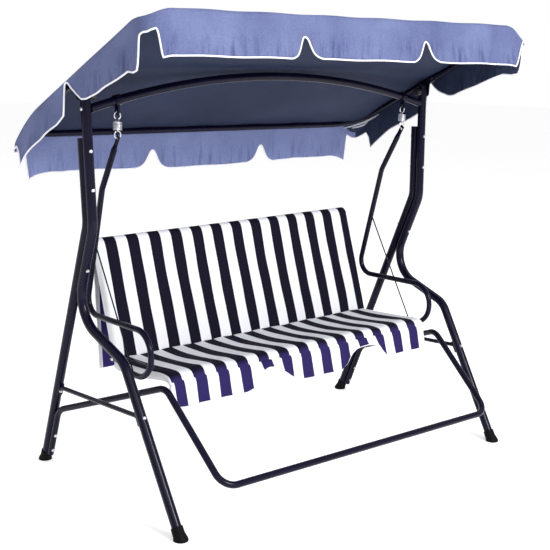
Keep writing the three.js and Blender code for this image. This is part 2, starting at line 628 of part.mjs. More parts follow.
/** One bent rail from bracket to bracket, round two corners at the canopy's front or rear. */
function canopyRail([y, z], start) {
  const corners = (side) => [railPoint(side, start), new THREE.Vector3(side * CANOPY_RAIL_X, y, z)];
  return tube(bentPath([...corners(-1), ...corners(1).reverse()], [CANOPY_CORNER, CANOPY_CORNER]),
    CANOPY_TUBE_RADIUS);
}

function canopyBracket(side) {
  const outside = CANOPY_TUBE_RADIUS + 2.8;
  const sleeve = cylinder(railPoint(side, -40), railPoint(side, 40), outside, 12);
  const bore = cylinder(railPoint(side, -50), railPoint(side, 50), CANOPY_TUBE_RADIUS + 0.8, 12);
  const [y, z] = CANOPY_PIVOT;
  const faces = [CANOPY_PLATE_X, CANOPY_PLATE_X + 4].map((x) => x * side).sort((a, b) => a - b);
  const plate = slab([
    yz(y - 16, z - 10), yz(y - 10, z - 16), yz(y + 10, z - 16), yz(y + 16, z - 10),
    yz(y + 24, z + 32), yz(y - 20, z + 50),
  ], ...faces);
  const boss = crossPin(new THREE.Vector3(side * (CANOPY_PLATE_X + 6), y, z), 11, 9, 12);
  const hole = crossPin(new THREE.Vector3(side * CANOPY_PLATE_X, y, z), 60, STUD_RADIUS + 0.8, 8);
  return cut(join(sleeve, plate, boss), bore, hole);
}

/** A round grip on a stud that clamps the leg and the bracket. */
function knobGeometry(reach) {
  return new THREE.LatheGeometry([
    [0, -20], [13, -20], [16, -17], [16, -8], [9, -4], [9, 0], [STUD_RADIUS, 0],
    [STUD_RADIUS, reach], [0, reach],
  ].map(([r, y]) => new THREE.Vector2(r, y)), 12);
}

/** Height of the cloth's upper face: over the rails, and tented over the arch bar in the middle. */
function canopyTop(x, y) {
  const [low, high] = y < CANOPY_PIVOT[0] ? [CANOPY_FRONT[0], 0] : [CANOPY_REAR[0], 0];
  const near = Math.max(1 - Math.abs((y - CANOPY_PIVOT[0]) / (low - CANOPY_PIVOT[0])), high);
  const middle = Math.max(1 - (x / CANOPY_RAIL_X) ** 2, 0);
  const loft = Math.min(canopyRailZ(y) + CANOPY_LOFT, CANOPY_FRONT[1] + CANOPY_TUBE_RADIUS + 3.2);
  return loft + CANOPY_CROWN * near * middle;
}

/** A closed block between two height functions over a grid. */
function block(xs, ys, top, bottom) {
  const positions = [];
  const quad = (a, b, c, d) => positions.push(...a, ...b, ...c, ...a, ...c, ...d);
  const at = (i, j, height) => [xs[i], ys[j], height(xs[i], ys[j])];
  for (let i = 0; i < xs.length - 1; i++) {
    for (let j = 0; j < ys.length - 1; j++) {
      quad(at(i, j, top), at(i + 1, j, top), at(i + 1, j + 1, top), at(i, j + 1, top));
      quad(at(i, j, bottom), at(i, j + 1, bottom), at(i + 1, j + 1, bottom), at(i + 1, j, bottom));
    }
    const last = ys.length - 1;
    quad(at(i, 0, bottom), at(i + 1, 0, bottom), at(i + 1, 0, top), at(i, 0, top));
    quad(at(i, last, top), at(i + 1, last, top), at(i + 1, last, bottom), at(i, last, bottom));
  }
  for (let j = 0; j < ys.length - 1; j++) {
    const last = xs.length - 1;
    quad(at(0, j, bottom), at(0, j, top), at(0, j + 1, top), at(0, j + 1, bottom));
    quad(at(last, j, bottom), at(last, j + 1, bottom), at(last, j + 1, top), at(last, j, top));
  }
  const geometry = new THREE.BufferGeometry();
  geometry.setAttribute('position', new THREE.Float32BufferAttribute(positions, 3));
  return geometry;
}

function canopyCover() {
  const wall = CANOPY_TUBE_RADIUS + 1.2 + CANOPY_CLOTH;
  const front = CANOPY_FRONT[0] - wall;
  const rear = CANOPY_REAR[0] + wall;
  const spread = (from, to, steps) =>
    Array.from({ length: steps }, (_, k) => lerp(from, to, k / steps));
  const ys = (inset) => [front + inset, ...spread(CANOPY_FRONT[0], CANOPY_PIVOT[0], 3),
    ...spread(CANOPY_PIVOT[0], CANOPY_REAR[0], 3), rear - inset];
  const xs = (inset) => {
    const end = CANOPY_HALF_LENGTH - inset;
    return [...spread(-end, end, 6), end];
  };
  const hem = (x, y) => canopyRailZ(y) + CANOPY_LOFT - CANOPY_VALANCE;
  const outer = block(xs(0), ys(0), canopyTop, hem);
  const inner = block(xs(CANOPY_CLOTH), ys(CANOPY_CLOTH),
    (x, y) => canopyTop(x, y) - CANOPY_CLOTH, (x, y) => hem(x, y) - 60);
  const third = (2 * CANOPY_HALF_LENGTH) / 3;
  const ends = [[front, hem(0, front)], [rear, hem(0, rear)]];
  const notches = [-third / 2, third / 2].flatMap((x) =>
    ends.map(([y, z]) => notchAcross(notchOutline(x, 150, z, 78), y - 20, y + 20)));
  const [y] = CANOPY_PIVOT;
  const sideNotch = slab([
    yz(y - 60, hem(0, y) - 60), yz(y + 60, hem(0, y) - 60), yz(y + 60, hem(0, y + 60)),
    yz(y + 18, hem(0, y) + 24), yz(y, hem(0, y) + 78), yz(y - 18, hem(0, y) + 24),
    yz(y - 60, hem(0, y - 60)),
  ], -CANOPY_HALF_LENGTH - 20, CANOPY_HALF_LENGTH + 20);
  return cut(outer, inner, ...notches, sideNotch);
}

// ---- Assembly --------------------------------------------------------------------------------
const swing = new THREE.Group();
const frame = new THREE.Group();
const springs = new THREE.Group();
const seat = new THREE.Group();
const canopy = new THREE.Group();
swing.add(frame, springs, seat, canopy);

const sides = { left: -1, right: 1 };
const allBolts = {};
const archBolts = [];
for (const [word, side] of Object.entries(sides)) {
  const bolts = sideBolts(side);
  allBolts[word] = bolts;
  const legX = onSide(side, 0, archZ(ARCH_END_X)).x;
  const archBolt = [
    new THREE.Vector3(legX - side * (LEG_RADIUS + 16), HANG_Y, archZ(ARCH_END_X)),
    new THREE.Vector3(legX + side * LEG_RADIUS, HANG_Y, archZ(ARCH_END_X)),
  ];
  archBolts.push(archBolt);
  const pivot = new THREE.Vector3(side * HALF_FOOT_SPACING, ...CANOPY_PIVOT);
  pivot.x = onSide(side, 0, pivot.z).x;

  piece(frame, `${word}_front_leg`,
    frontLeg(side, bolts, crossPin(pivot, 60, STUD_RADIUS + 0.8, 8), archBolt), NAVY_STEEL);
  piece(frame, `${word}_rear_leg`, rearLeg(side, bolts), NAVY_STEEL);
  piece(frame, `${word}_front_foot`, foot(side, -FOOT_Y, FRONT_LEG_KNEE), BLACK_RUBBER);
  piece(frame, `${word}_rear_foot`, foot(side, FOOT_Y, REAR_LEG_BEND), BLACK_RUBBER);
  piece(frame, `${word}_brace`, brace(side, bolts), NAVY_STEEL);
  piece(frame, `${word}_spring_eye`, springEye(side), NAVY_STEEL);
  for (const [name, ends] of Object.entries(bolts)) bolt(frame, `${word}_${name}`, ...ends);

  // The screw that holds the arch bar's end: its cap is outside the leg, its tip inside the bar.
  const screw = new THREE.LatheGeometry([
    [0, -16], [SHANK_RADIUS, -16], [SHANK_RADIUS, 32 + GAP], [CAP_RADIUS, 32 + GAP],
    [CAP_RADIUS * 0.7, 36], [0, 37],
  ].map(([r, y]) => new THREE.Vector2(r, y)), 8);
  const archScrew = piece(frame, `${word}_arch_bolt`, screw, ZINC);
  archScrew.position.copy(archBolt[1]).addScaledVector(X_AXIS, -32 * side);
  archScrew.quaternion.setFromUnitVectors(Y_AXIS, X_AXIS.clone().multiplyScalar(side));

  piece(springs, `${word}_spring`, springCoil(side), ZINC);
  piece(springs, `${word}_spring_hook`, springHook(side), ZINC);

  const bracesToSeat = armBolts(side);
  piece(seat, `${word}_arm`, arm(side, bracesToSeat), NAVY_STEEL);
  piece(seat, `${word}_stay_rod`, stayRod(side), NAVY_STEEL);
  for (const [name, ends] of Object.entries(bracesToSeat)) bolt(seat, `${word}_${name}`, ...ends);
  piece(seat, `${word}_seat_side`, seatSide(side, bracesToSeat), NAVY_STEEL);
  const railScrewMesh = piece(seat, `${word}_rail_bolt`, railScrew(side), ZINC);
  railScrewMesh.position.copy(railBolts(side)[0]).lerp(railBolts(side)[1], 0.5);
  railScrewMesh.quaternion.setFromUnitVectors(Y_AXIS, X_AXIS.clone().multiplyScalar(side));

  piece(canopy, `${word}_canopy_bracket`, canopyBracket(side), NAVY_STEEL);
  const legInner = Math.abs(pivot.x) - LEG_RADIUS - 0.8;
  const knob = piece(canopy, `${word}_canopy_knob`, knobGeometry(CANOPY_PLATE_X + 10 - legInner),
    BLACK_PLASTIC);
  knob.position.set(side * legInner, pivot.y, pivot.z);
  knob.quaternion.setFromUnitVectors(Y_AXIS, X_AXIS.clone().multiplyScalar(side));
}

piece(frame, 'arch_bar', archBar(archBolts), NAVY_STEEL);
piece(frame, 'base_tube', baseTube(Object.values(allBolts)), NAVY_STEEL);

const insideSide = SEAT_HALF_WIDTH - SEAT_TUBE_RADIUS - GAP;
piece(seat, 'front_rail', crossRail(SEAT_FRONT_Y, SEAT_RAIL_Z, FRONT_RAIL_HALF, SEAT_TUBE_RADIUS), NAVY_STEEL);
piece(seat, 'rear_rail', crossRail(backY(REAR_RAIL_Z), REAR_RAIL_Z, insideSide, RAIL_RADIUS), NAVY_STEEL);
piece(seat, 'top_rail', crossRail(backY(TOP_RAIL_Z), TOP_RAIL_Z, insideSide, RAIL_RADIUS), NAVY_STEEL);
piece(seat, 'back_cover', backCover(), STRIPED_CLOTH);
piece(seat, 'seat_cover', seatCover(), STRIPED_CLOTH);

piece(canopy, 'canopy_front_rail', canopyRail(CANOPY_FRONT, -2), NAVY_STEEL);
piece(canopy, 'canopy_rear_rail', canopyRail(CANOPY_REAR, 2), NAVY_STEEL);
piece(canopy, 'canopy_cover', canopyCover(), BLUE_CLOTH);

swing.position.y = -BOX_CENTRE_Y;

export default swing;
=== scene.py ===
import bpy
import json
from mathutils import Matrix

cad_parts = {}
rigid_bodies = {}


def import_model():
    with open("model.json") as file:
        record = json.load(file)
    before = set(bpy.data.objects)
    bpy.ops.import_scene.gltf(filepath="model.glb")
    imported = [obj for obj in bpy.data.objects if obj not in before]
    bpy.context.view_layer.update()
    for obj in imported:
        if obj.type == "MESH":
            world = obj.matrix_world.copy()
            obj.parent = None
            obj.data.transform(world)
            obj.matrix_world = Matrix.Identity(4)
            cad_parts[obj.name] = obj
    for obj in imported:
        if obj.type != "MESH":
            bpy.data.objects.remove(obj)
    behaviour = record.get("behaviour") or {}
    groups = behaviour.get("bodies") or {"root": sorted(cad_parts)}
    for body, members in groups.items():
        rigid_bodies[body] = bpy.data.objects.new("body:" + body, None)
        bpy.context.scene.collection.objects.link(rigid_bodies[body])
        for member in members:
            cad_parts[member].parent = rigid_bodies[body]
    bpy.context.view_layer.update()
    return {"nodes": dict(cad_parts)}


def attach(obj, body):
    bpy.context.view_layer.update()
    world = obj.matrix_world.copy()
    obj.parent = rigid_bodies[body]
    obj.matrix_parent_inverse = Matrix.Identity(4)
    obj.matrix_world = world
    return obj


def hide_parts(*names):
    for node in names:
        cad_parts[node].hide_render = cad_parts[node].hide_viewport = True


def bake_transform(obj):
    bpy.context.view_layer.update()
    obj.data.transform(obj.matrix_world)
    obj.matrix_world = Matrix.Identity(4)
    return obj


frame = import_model()

import json
import math

import bmesh
import bpy
import numpy as np
from mathutils import Matrix, Vector

# ---- Camera --------------------------------------------------------------------------------------
# It stands at eye height to the left of the bench and looks slightly down across the seat.
EYE = Vector((-2.4505, -2.9236, 1.4152))
TURN, PITCH, ROLL = (math.radians(angle) for angle in (-39.6, 11.1, 0.87))
ahead = Vector((-math.sin(TURN) * math.cos(PITCH), math.cos(TURN) * math.cos(PITCH), -math.sin(PITCH)))
level = Vector((math.cos(TURN), math.sin(TURN), 0))
upright = level.cross(ahead)
right = math.cos(ROLL) * level + math.sin(ROLL) * upright
up = math.cos(ROLL) * upright - math.sin(ROLL) * level
lens = bpy.data.cameras.new("camera")
lens.lens, lens.sensor_width = 70.6, 36
camera = bpy.data.objects.new("camera", lens)
camera.matrix_world = Matrix.Translation(EYE) @ Matrix((right, up, -ahead)).transposed().to_4x4()
bpy.context.scene.collection.objects.link(camera)
bpy.context.scene.camera = camera


# ---- Floor and light -----------------------------------------------------------------------------
# A plain white studio floor that glows a little, a white sky that is brightest behind the bench, and
# three round soft lamps: the key in front, a weak one at the left, and one overhead.
class Shade:
    """A shader value. Sums and products of it add Math nodes, and node() adds any other node."""

    def __init__(self, tree, socket=None):
        self.tree, self.socket = tree, socket

    def node(self, kind, settings=(), inputs=(), out=0):
        made = self.tree.nodes.new("ShaderNode" + kind)
        for name, setting in dict(settings).items():
            setattr(made, name, setting)
        for name, value in dict(inputs).items():
            if isinstance(value, Shade):
                self.tree.links.new(value.socket, made.inputs[name])
            else:
                made.inputs[name].default_value = value
        return Shade(self.tree, made.outputs[out])

    def maths(self, operation, first, second=0.0):
        return self.node("Math", {"operation": operation}, {0: first, 1: second})

    def __add__(self, other):
        return self.maths("ADD", self, other)

    def __sub__(self, other):
        return self.maths("SUBTRACT", self, other)

    def __rsub__(self, other):
        return self.maths("SUBTRACT", other, self)

    def __mul__(self, other):
        return self.maths("MULTIPLY", self, other)

    def __truediv__(self, other):
        return self.maths("DIVIDE", self, other)

    def __abs__(self):
        return self.maths("ABSOLUTE", self)

    __radd__, __rmul__ = __add__, __mul__

    def clamped(self):
        return self.maths("MINIMUM", self.maths("MAXIMUM", self, 0.0), 1.0)

    def noise(self, scale, detail=3.0, at=None):
        place = at or self.node("TexCoord", out="Object")
        return self.node("TexNoise", {}, {"Vector": place, "Scale": scale, "Detail": detail})

    def mixed(self, first, second):
        return self.node("Mix", {"data_type": "RGBA"}, {0: self, 6: first, 7: second}, out=2)

    def bumped(self, distance, strength=1.0):
        return self.node("Bump", {}, {"Height": self, "Distance": distance, "Strength": strength})


def finish_named(name, paint, **fixed):
    """A material: paint(shade) gives what varies, and the fixed values go on the shader's sockets."""
    material = bpy.data.materials.new(name)
    material.use_nodes = True
    tree = material.node_tree
    principled = tree.nodes["Principled BSDF"]
    for socket, value in fixed.items():
        principled.inputs[socket.replace("_", " ")].default_value = value
    for socket, value in paint(Shade(tree)).items():
        tree.links.new(value.socket, principled.inputs[socket])
    return material


FLOOR_HALF = 30
floor_mesh = bpy.data.meshes.new("floor")
floor_mesh.from_pydata([(x * FLOOR_HALF, y * FLOOR_HALF, 0) for x, y in ((-1, -1), (1, -1), (1, 1), (-1, 1))],
                       [], [(0, 1, 2, 3)])
floor = bpy.data.objects.new("floor", floor_mesh)
bpy.context.scene.collection.objects.link(floor)
floor_mesh.materials.append(finish_named(
    "studio_floor", lambda s: {"Roughness": s.noise(0.6) * 0.05 + 0.85},
    Base_Color=(0.95, 0.95, 0.955, 1), Specular_IOR_Level=0.02,
    Emission_Color=(1, 1, 1, 1), Emission_Strength=0.36))

world = bpy.data.worlds.new("studio")
world.use_nodes = True
sky = Shade(world.node_tree)
seen = sky.node("LightPath", out="Is Camera Ray")
LIT_BY_SKY, SEEN_EXTRA, LAMPS_AIM = 0.64, 0.36, Vector((0, 0, 0.8))
backdrop = world.node_tree.nodes["Background"]
backdrop.inputs["Color"].default_value = (1, 1, 1, 1)
world.node_tree.links.new((seen * SEEN_EXTRA + LIT_BY_SKY).socket, backdrop.inputs["Strength"])
bpy.context.scene.world = world
bpy.context.scene.view_settings.view_transform = "Standard"
for name, place, size, power in (
        ("key", (0.2, -5.4, 3.4), 2.0, 270),
        ("left", (-3.4, -3.6, 3.0), 2.2, 25),
        ("top", (0.4, 0.2, 5.0), 3.5, 90)):
    lamp = bpy.data.lights.new(name, "AREA")
    lamp.shape, lamp.size, lamp.energy = "DISK", size, power
    light = bpy.data.objects.new(name, lamp)
    light.location = place
    light.rotation_euler = (LAMPS_AIM - Vector(place)).to_track_quat("-Z", "Y").to_euler()
    bpy.context.scene.collection.objects.link(light)


# ---- Legs ----------------------------------------------------------------------------------------
# Each side stands on a long S-bent front leg and a shorter rear leg that meets it halfway up. They
# are 32 mm steel tube, bent cold and powder coated dark navy.
SHIFT_Y = 18.5
SIDES = {"left": -1, "right": 1}


def metres(point):
    x, y, z = point
    return Vector((x, y + SHIFT_Y, z)) / 1000


def on_side(side, y, z):
    """A point in a side frame, which leans outwards as it rises. All in millimetres."""
    return (side * (725 + 0.0256 * z), y, z)


def nodes_in(tree, kind, values=(), **settings):
    node = tree.nodes.new(kind)
    for name, value in settings.items():
        setattr(node, name, value)
    for name, value in dict(values).items():
        if isinstance(value, bpy.types.NodeSocket):
            tree.links.new(value, node.inputs[name])
        else:
            node.inputs[name].default_value = value
    return node


def new_tree(name, inputs):
    tree = bpy.data.node_groups.new(name, "GeometryNodeTree")
    tree.interface.new_socket("Geometry", in_out="OUTPUT", socket_type="NodeSocketGeometry")
    tree.interface.new_socket("Geometry", in_out="INPUT", socket_type="NodeSocketGeometry")
    for label, kind in inputs:
        tree.interface.new_socket(label, in_out="INPUT", socket_type="NodeSocket" + kind)
    return tree, tree.nodes.new("NodeGroupInput"), tree.nodes.new("NodeGroupOutput")


def bent_tube_tree():
    """Rounds the corners of a line by each point's radius, and runs a round tube along it."""
    tree, given, result = new_tree("bent_tube", [
        ("Tube Radius", "Float"), ("Sides", "Int"), ("Bend Steps", "Int"), ("Finish", "Material")])
    bends = nodes_in(tree, "GeometryNodeInputRadius")
    rounded = nodes_in(tree, "GeometryNodeFilletCurve", {
        "Curve": given.outputs["Geometry"], "Count": given.outputs["Bend Steps"],
        "Radius": bends.outputs["Radius"], "Limit Radius": True}, mode="POLY")
    even = nodes_in(tree, "GeometryNodeSetCurveRadius", {"Curve": rounded.outputs["Curve"], "Radius": 1.0})
    section = nodes_in(tree, "GeometryNodeCurvePrimitiveCircle", {
        "Resolution": given.outputs["Sides"], "Radius": given.outputs["Tube Radius"]})
    swept = nodes_in(tree, "GeometryNodeCurveToMesh", {
        "Curve": even.outputs["Curve"], "Profile Curve": section.outputs["Curve"], "Fill Caps": True})
    soft = nodes_in(tree, "GeometryNodeSetShadeSmooth", {"Geometry": swept.outputs["Mesh"]})
    real = nodes_in(tree, "GeometryNodeRealizeInstances", {"Geometry": soft.outputs["Geometry"]})
    coated = nodes_in(tree, "GeometryNodeSetMaterial", {
        "Geometry": real.outputs["Geometry"], "Material": given.outputs["Finish"]})
    tree.links.new(coated.outputs["Geometry"], result.inputs["Geometry"])
    return tree


BENT_TUBE = bent_tube_tree()


def grown(source, tree, name, **values):
    """Runs a Geometry Nodes tree on an object and keeps the plain mesh that it makes."""
    modifier = source.modifiers.new("grow", "NODES")
    modifier.node_group = tree
    for item in tree.interface.items_tree:
        key = item.name.replace(" ", "_").lower()
        if item.in_out == "INPUT" and key in values:
            modifier[item.identifier] = values[key]
    bpy.context.view_layer.update()
    mesh = bpy.data.meshes.new_from_object(source.evaluated_get(bpy.context.evaluated_depsgraph_get()))
    mesh.name = name
    source.modifiers.remove(modifier)
    bpy.data.objects.remove(source)
    piece = bpy.data.objects.new(name, mesh)
    bpy.context.scene.collection.objects.link(piece)
    return piece


def bent_tube(name, points, bends, radius, finish, sides=28, steps=12, closed=False):
    """A tube through points in millimetres, with a bend radius at each."""
    curve = bpy.data.curves.new(name + "_line", "CURVE")
    curve.dimensions = "3D"
    spline = curve.splines.new("POLY")
    spline.points.add(len(points) - 1)
    spline.use_cyclic_u = closed
    for target, point, bend in zip(spline.points, points, bends):
        target.co = (*metres(point), 1)
        target.radius = bend / 1000
    line = bpy.data.objects.new(name + "_line", curve)
    bpy.context.scene.collection.objects.link(line)
    return grown(line, BENT_TUBE, name, tube_radius=radius / 1000, sides=sides, bend_steps=steps,
                 finish=finish)


def fitted(piece, body, slot, *nodes):
    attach(piece, body)
    if nodes:
        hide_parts(*nodes)
    return piece


def powder_coat(s):
    """Dark gloss paint with a faint orange peel, duller in patches where hands and weather meet it."""
    patches = s.noise(7.0, 4.0)
    tint = (patches * 1.6 - 0.3).clamped().mixed((0.0018, 0.0012, 0.0085, 1), (0.0042, 0.0030, 0.0190, 1))
    return {"Base Color": tint, "Roughness": patches * 0.12 + 0.20,
            "Normal": s.noise(420.0, 2.0).bumped(0.0004, 0.35)}


frame_paint = finish_named("navy_powder_coat", powder_coat, Specular_IOR_Level=0.12, Coat_Weight=0.10,
                           Coat_Roughness=0.06)
LEG_RADIUS = 16
for side_name, side in SIDES.items():
    front_line = [(37.3, 1338), (22, 896), (149, 593), (-138, 491), (-421.1, 15)]
    rear_line = [(64.5, 1176), (55, 904), (423.8, 15)]
    for end, line, bends in (("front", front_line, (0, 120, 115, 90, 0)), ("rear", rear_line, (0, 87, 0))):
        leg = bent_tube(f"{side_name}_{end}_leg_tube", [on_side(side, y, z) for y, z in line], bends,
                        LEG_RADIUS, frame_paint, sides=36, steps=16)
        fitted(leg, "frame", "frame_paint", f"{side_name}_{end}_leg")


# ---- Feet ----------------------------------------------------------------------------------------
# A black rubber cap is pushed over the end of each leg and flares out to a flat round sole.
def lofted(name, rings, material):
    """A closed skin through rings of points (each the same length), in metres."""
    rings = np.array(rings)
    count, around = rings.shape[:2]
    faces = [(r * around + c, r * around + (c + 1) % around, (r + 1) * around + (c + 1) % around,
              (r + 1) * around + c) for r in range(count - 1) for c in range(around)]
    faces += [tuple(range(around)), tuple(range((count - 1) * around, count * around))]
    mesh = bpy.data.meshes.new(name)
    mesh.from_pydata(rings.reshape(-1, 3).tolist(), [], faces)
    shell = bmesh.new()
    shell.from_mesh(mesh)
    bmesh.ops.recalc_face_normals(shell, faces=shell.faces)
    shell.to_mesh(mesh)
    shell.free()
    mesh.shade_smooth()
    mesh.materials.append(material)
    piece = bpy.data.objects.new(name, mesh)
    bpy.context.scene.collection.objects.link(piece)
    return piece


def ring(centre, normal, radius, around=40, lobes=0, depth=0.0):
    """A round or lobed loop of points in millimetres about a line."""
    normal = Vector(normal).normalized()
    first = normal.orthogonal().normalized()
    if abs(normal.z) > 0.5:
        first = (Vector((1, 0, 0)) - normal * normal.x).normalized()
    second = normal.cross(first)
    points = []
    for k in range(around):
        angle = math.tau * k / around
        reach = radius * (1 + depth * math.cos(lobes * angle))
        points.append(metres(Vector(centre) + reach * (first * math.cos(angle) + second * math.sin(angle))))
    return points


def moulded_rubber(s):
    grain = s.noise(900.0, 2.0)
    dust = s.noise(30.0, 4.0)
    return {"Base Color": dust.mixed((0.0015, 0.0015, 0.002, 1), (0.005, 0.005, 0.006, 1)),
            "Roughness": dust * 0.25 + 0.45, "Normal": grain.bumped(0.0003, 0.4)}


rubber = finish_named("black_rubber", moulded_rubber, Specular_IOR_Level=0.08)
for side_name, side in SIDES.items():
    for end, ground_y, knee in (("front", -430, (-138, 491)), ("rear", 430, (55, 904))):
        sole = Vector(on_side(side, ground_y, 0))
        along = (Vector(on_side(side, *knee)) - sole).normalized()
        rings = [ring(sole + Vector((0, 0, z)), (0, 0, 1), r) for z, r in
                 ((0, 22.6), (0.6, 23.6), (2, 24), (6, 23.4), (10, 22))]
        rings += [ring(sole + along * reach, along, r) for reach, r in
                  ((17, 20.4), (20, 19.6), (40, 19.4), (41.6, 19.0), (42, 18.2), (42, 16.3), (38, 16.2))]
        fitted(lofted(f"{side_name}_{end}_foot_cap", rings, rubber), "frame", "foot_rubber",
               f"{side_name}_{end}_foot")


# ---- Base tube and arch bar ----------------------------------------------------------------------
# One 22 mm tube runs from rear leg to rear leg round the front, low between the front feet. A 28 mm
# bar arches from leg top to leg top and carries both springs.
base_corners = [(726.1, 386.2, 33.4), (730.8, 309.9, 217.4), (626, -202, 404), (609, -490, 157)]
base_bends = [0, 70, 50, 55]
base_line = [(-x, y, z) for x, y, z in base_corners] + base_corners[::-1]
base = bent_tube("base_tube_bent", base_line, base_bends + base_bends[::-1], 11, frame_paint,
                 sides=28, steps=14)
fitted(base, "frame", "frame_paint", "base_tube")

ARCH_SWEEP, ARCH_APEX, ARCH_HALF, ARCH_STATIONS = 2770, 1370, 742, 45
HANG_X, HANG_Y = 645, 35


def arch_z(x):
    return ARCH_APEX - ARCH_SWEEP + math.sqrt(ARCH_SWEEP ** 2 - x ** 2)


arch_line = [(x, HANG_Y, arch_z(x)) for x in np.linspace(-ARCH_HALF, ARCH_HALF, ARCH_STATIONS)]
arch = bent_tube("arch_bar_tube", arch_line, [0] * ARCH_STATIONS, 14, frame_paint, sides=32)
fitted(arch, "frame", "frame_paint", "arch_bar")


# ---- Springs and their hooks ---------------------------------------------------------------------
# Two zinc-plated steel coils carry the seat. Each hangs by a wire ring from an eye plate, and a
# hooked shank that is screwed into its lower end carries the arm.
def zinc_plate(s):
    """Bright plating with slight clouding and fine drawn lines."""
    clouds = s.noise(60.0, 4.0)
    return {"Base Color": clouds.mixed((0.55, 0.56, 0.60, 1), (0.80, 0.81, 0.84, 1)),
            "Roughness": clouds * 0.2 + 0.22, "Normal": s.noise(700.0, 2.0).bumped(0.0002, 0.3)}


zinc = finish_named("bright_zinc", zinc_plate, Metallic=1.0)
WIRE_RADIUS, COIL_RADIUS, COIL_TOP, COIL_LOW, COIL_TURNS = 2.0, 13.0, 1228.6, 1201.0, 6
HOOK_RADIUS, UPPER_HOOK_Z, LOWER_HOOK_Z = 11.5, 1245.5, 1185.5
for side_name, side in SIDES.items():
    x = side * HANG_X
    loop = [(x + HOOK_RADIUS * math.sin(a), HANG_Y, UPPER_HOOK_Z + HOOK_RADIUS * math.cos(a))
            for a in np.linspace(-2.6, 2.75, 22)]
    drop = [(x + 2, HANG_Y + 2, 1233), (x + 7, HANG_Y + 5, 1231)]
    turns = [(x + COIL_RADIUS * math.cos(a), HANG_Y + COIL_RADIUS * math.sin(a),
              COIL_TOP + (COIL_LOW - COIL_TOP) * a / (math.tau * COIL_TURNS))
             for a in np.linspace(0.7, math.tau * COIL_TURNS, COIL_TURNS * 22)]
    spring_line = loop + drop + turns
    spring = bent_tube(f"{side_name}_coil_spring", spring_line, [0] * len(spring_line), WIRE_RADIUS, zinc,
                       sides=10)
    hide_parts(f"{side_name}_spring")
    metres((x, HANG_Y, COIL_TOP))
    metres((x, HANG_Y, COIL_LOW))
    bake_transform(spring)
    hook_loop = [(x + HOOK_RADIUS * math.sin(a), HANG_Y, LOWER_HOOK_Z - HOOK_RADIUS * math.cos(a))
                 for a in np.linspace(-2.6, math.pi - 0.05, 24)]
    hook_line = hook_loop + [(x, HANG_Y, 1202), (x, HANG_Y, 1212)]
    hook = bent_tube(f"{side_name}_spring_lower_hook", hook_line, [0] * len(hook_line), 2.2, zinc, sides=12)
    plug = lofted(f"{side_name}_hook_plug", [ring((x, HANG_Y, z), (0, 0, 1), r, 24) for z, r in
                                             ((1210.4, 6), (1211, 8), (1220.4, 8), (1221, 6))], zinc)
    fitted(hook, "spring_hooks", "zinc", f"{side_name}_spring_hook")
    fitted(plug, "spring_hooks", "zinc")


# ---- Spring eyes, braces, brackets and bolts -----------------------------------------------------
# These keep the frame's own solids: eye plates on the arch, pressed-end braces between the legs, plates
# with a sleeve for the canopy rails, and the zinc bolts through every joint.
def refinished(node, finish):
    node.data.materials.clear()
    node.data.materials.append(finish)


for side_name in SIDES:
    for part in ("spring_eye", "brace", "canopy_bracket"):
        refinished(frame["nodes"][f"{side_name}_{part}"], frame_paint)
for node_name, node in frame["nodes"].items():
    if "bolt" in node_name:
        refinished(node, zinc)


# ---- Arms ----------------------------------------------------------------------------------------
# One 20 mm tube makes each hanger, armrest and under-seat stay. Its top is pressed flat and drilled
# for the spring hook. A 5 mm rod braces the front of the armrest.
def pressed(piece, centre, along, across_x, reach, fade, thickness):
    """Squeezes one tube end flat in X, from its tip for a length, fading back to round."""
    centre, along = metres(centre), Vector(along).normalized()
    for vertex in piece.data.vertices:
        away = (vertex.co - centre).dot(along) * 1000
        near = (vertex.co - centre).length * 1000
        if near < reach + fade + 30 and away < reach + fade:
            flat = 1.0 if away < reach else 1.0 - (away - reach) / fade
            flat = flat * flat * (3 - 2 * flat)
            middle = across_x / 1000
            vertex.co.x = middle + (vertex.co.x - middle) * (1 - flat * (1 - thickness))


def drilled(piece, centre, radius, depth=0.03):
    """Cuts a round hole along X."""
    mesh = bpy.data.meshes.new("drill")
    bit = bmesh.new()
    lie_along_x = Matrix.Translation(metres(centre)) @ Matrix.Rotation(math.pi / 2, 4, "Y")
    bmesh.ops.create_cone(bit, cap_ends=True, segments=28, radius1=radius / 1000, radius2=radius / 1000,
                          depth=depth, matrix=lie_along_x)
    bit.to_mesh(mesh)
    bit.free()
    cutter = bpy.data.objects.new("drill", mesh)
    bpy.context.scene.collection.objects.link(cutter)
    modifier = piece.modifiers.new("hole", "BOOLEAN")
    modifier.object, modifier.operation, modifier.solver = cutter, "DIFFERENCE", "EXACT"
    bpy.context.view_layer.update()
    result = bpy.data.meshes.new_from_object(piece.evaluated_get(bpy.context.evaluated_depsgraph_get()))
    piece.modifiers.remove(modifier)
    piece.data = result
    bpy.data.objects.remove(cutter)


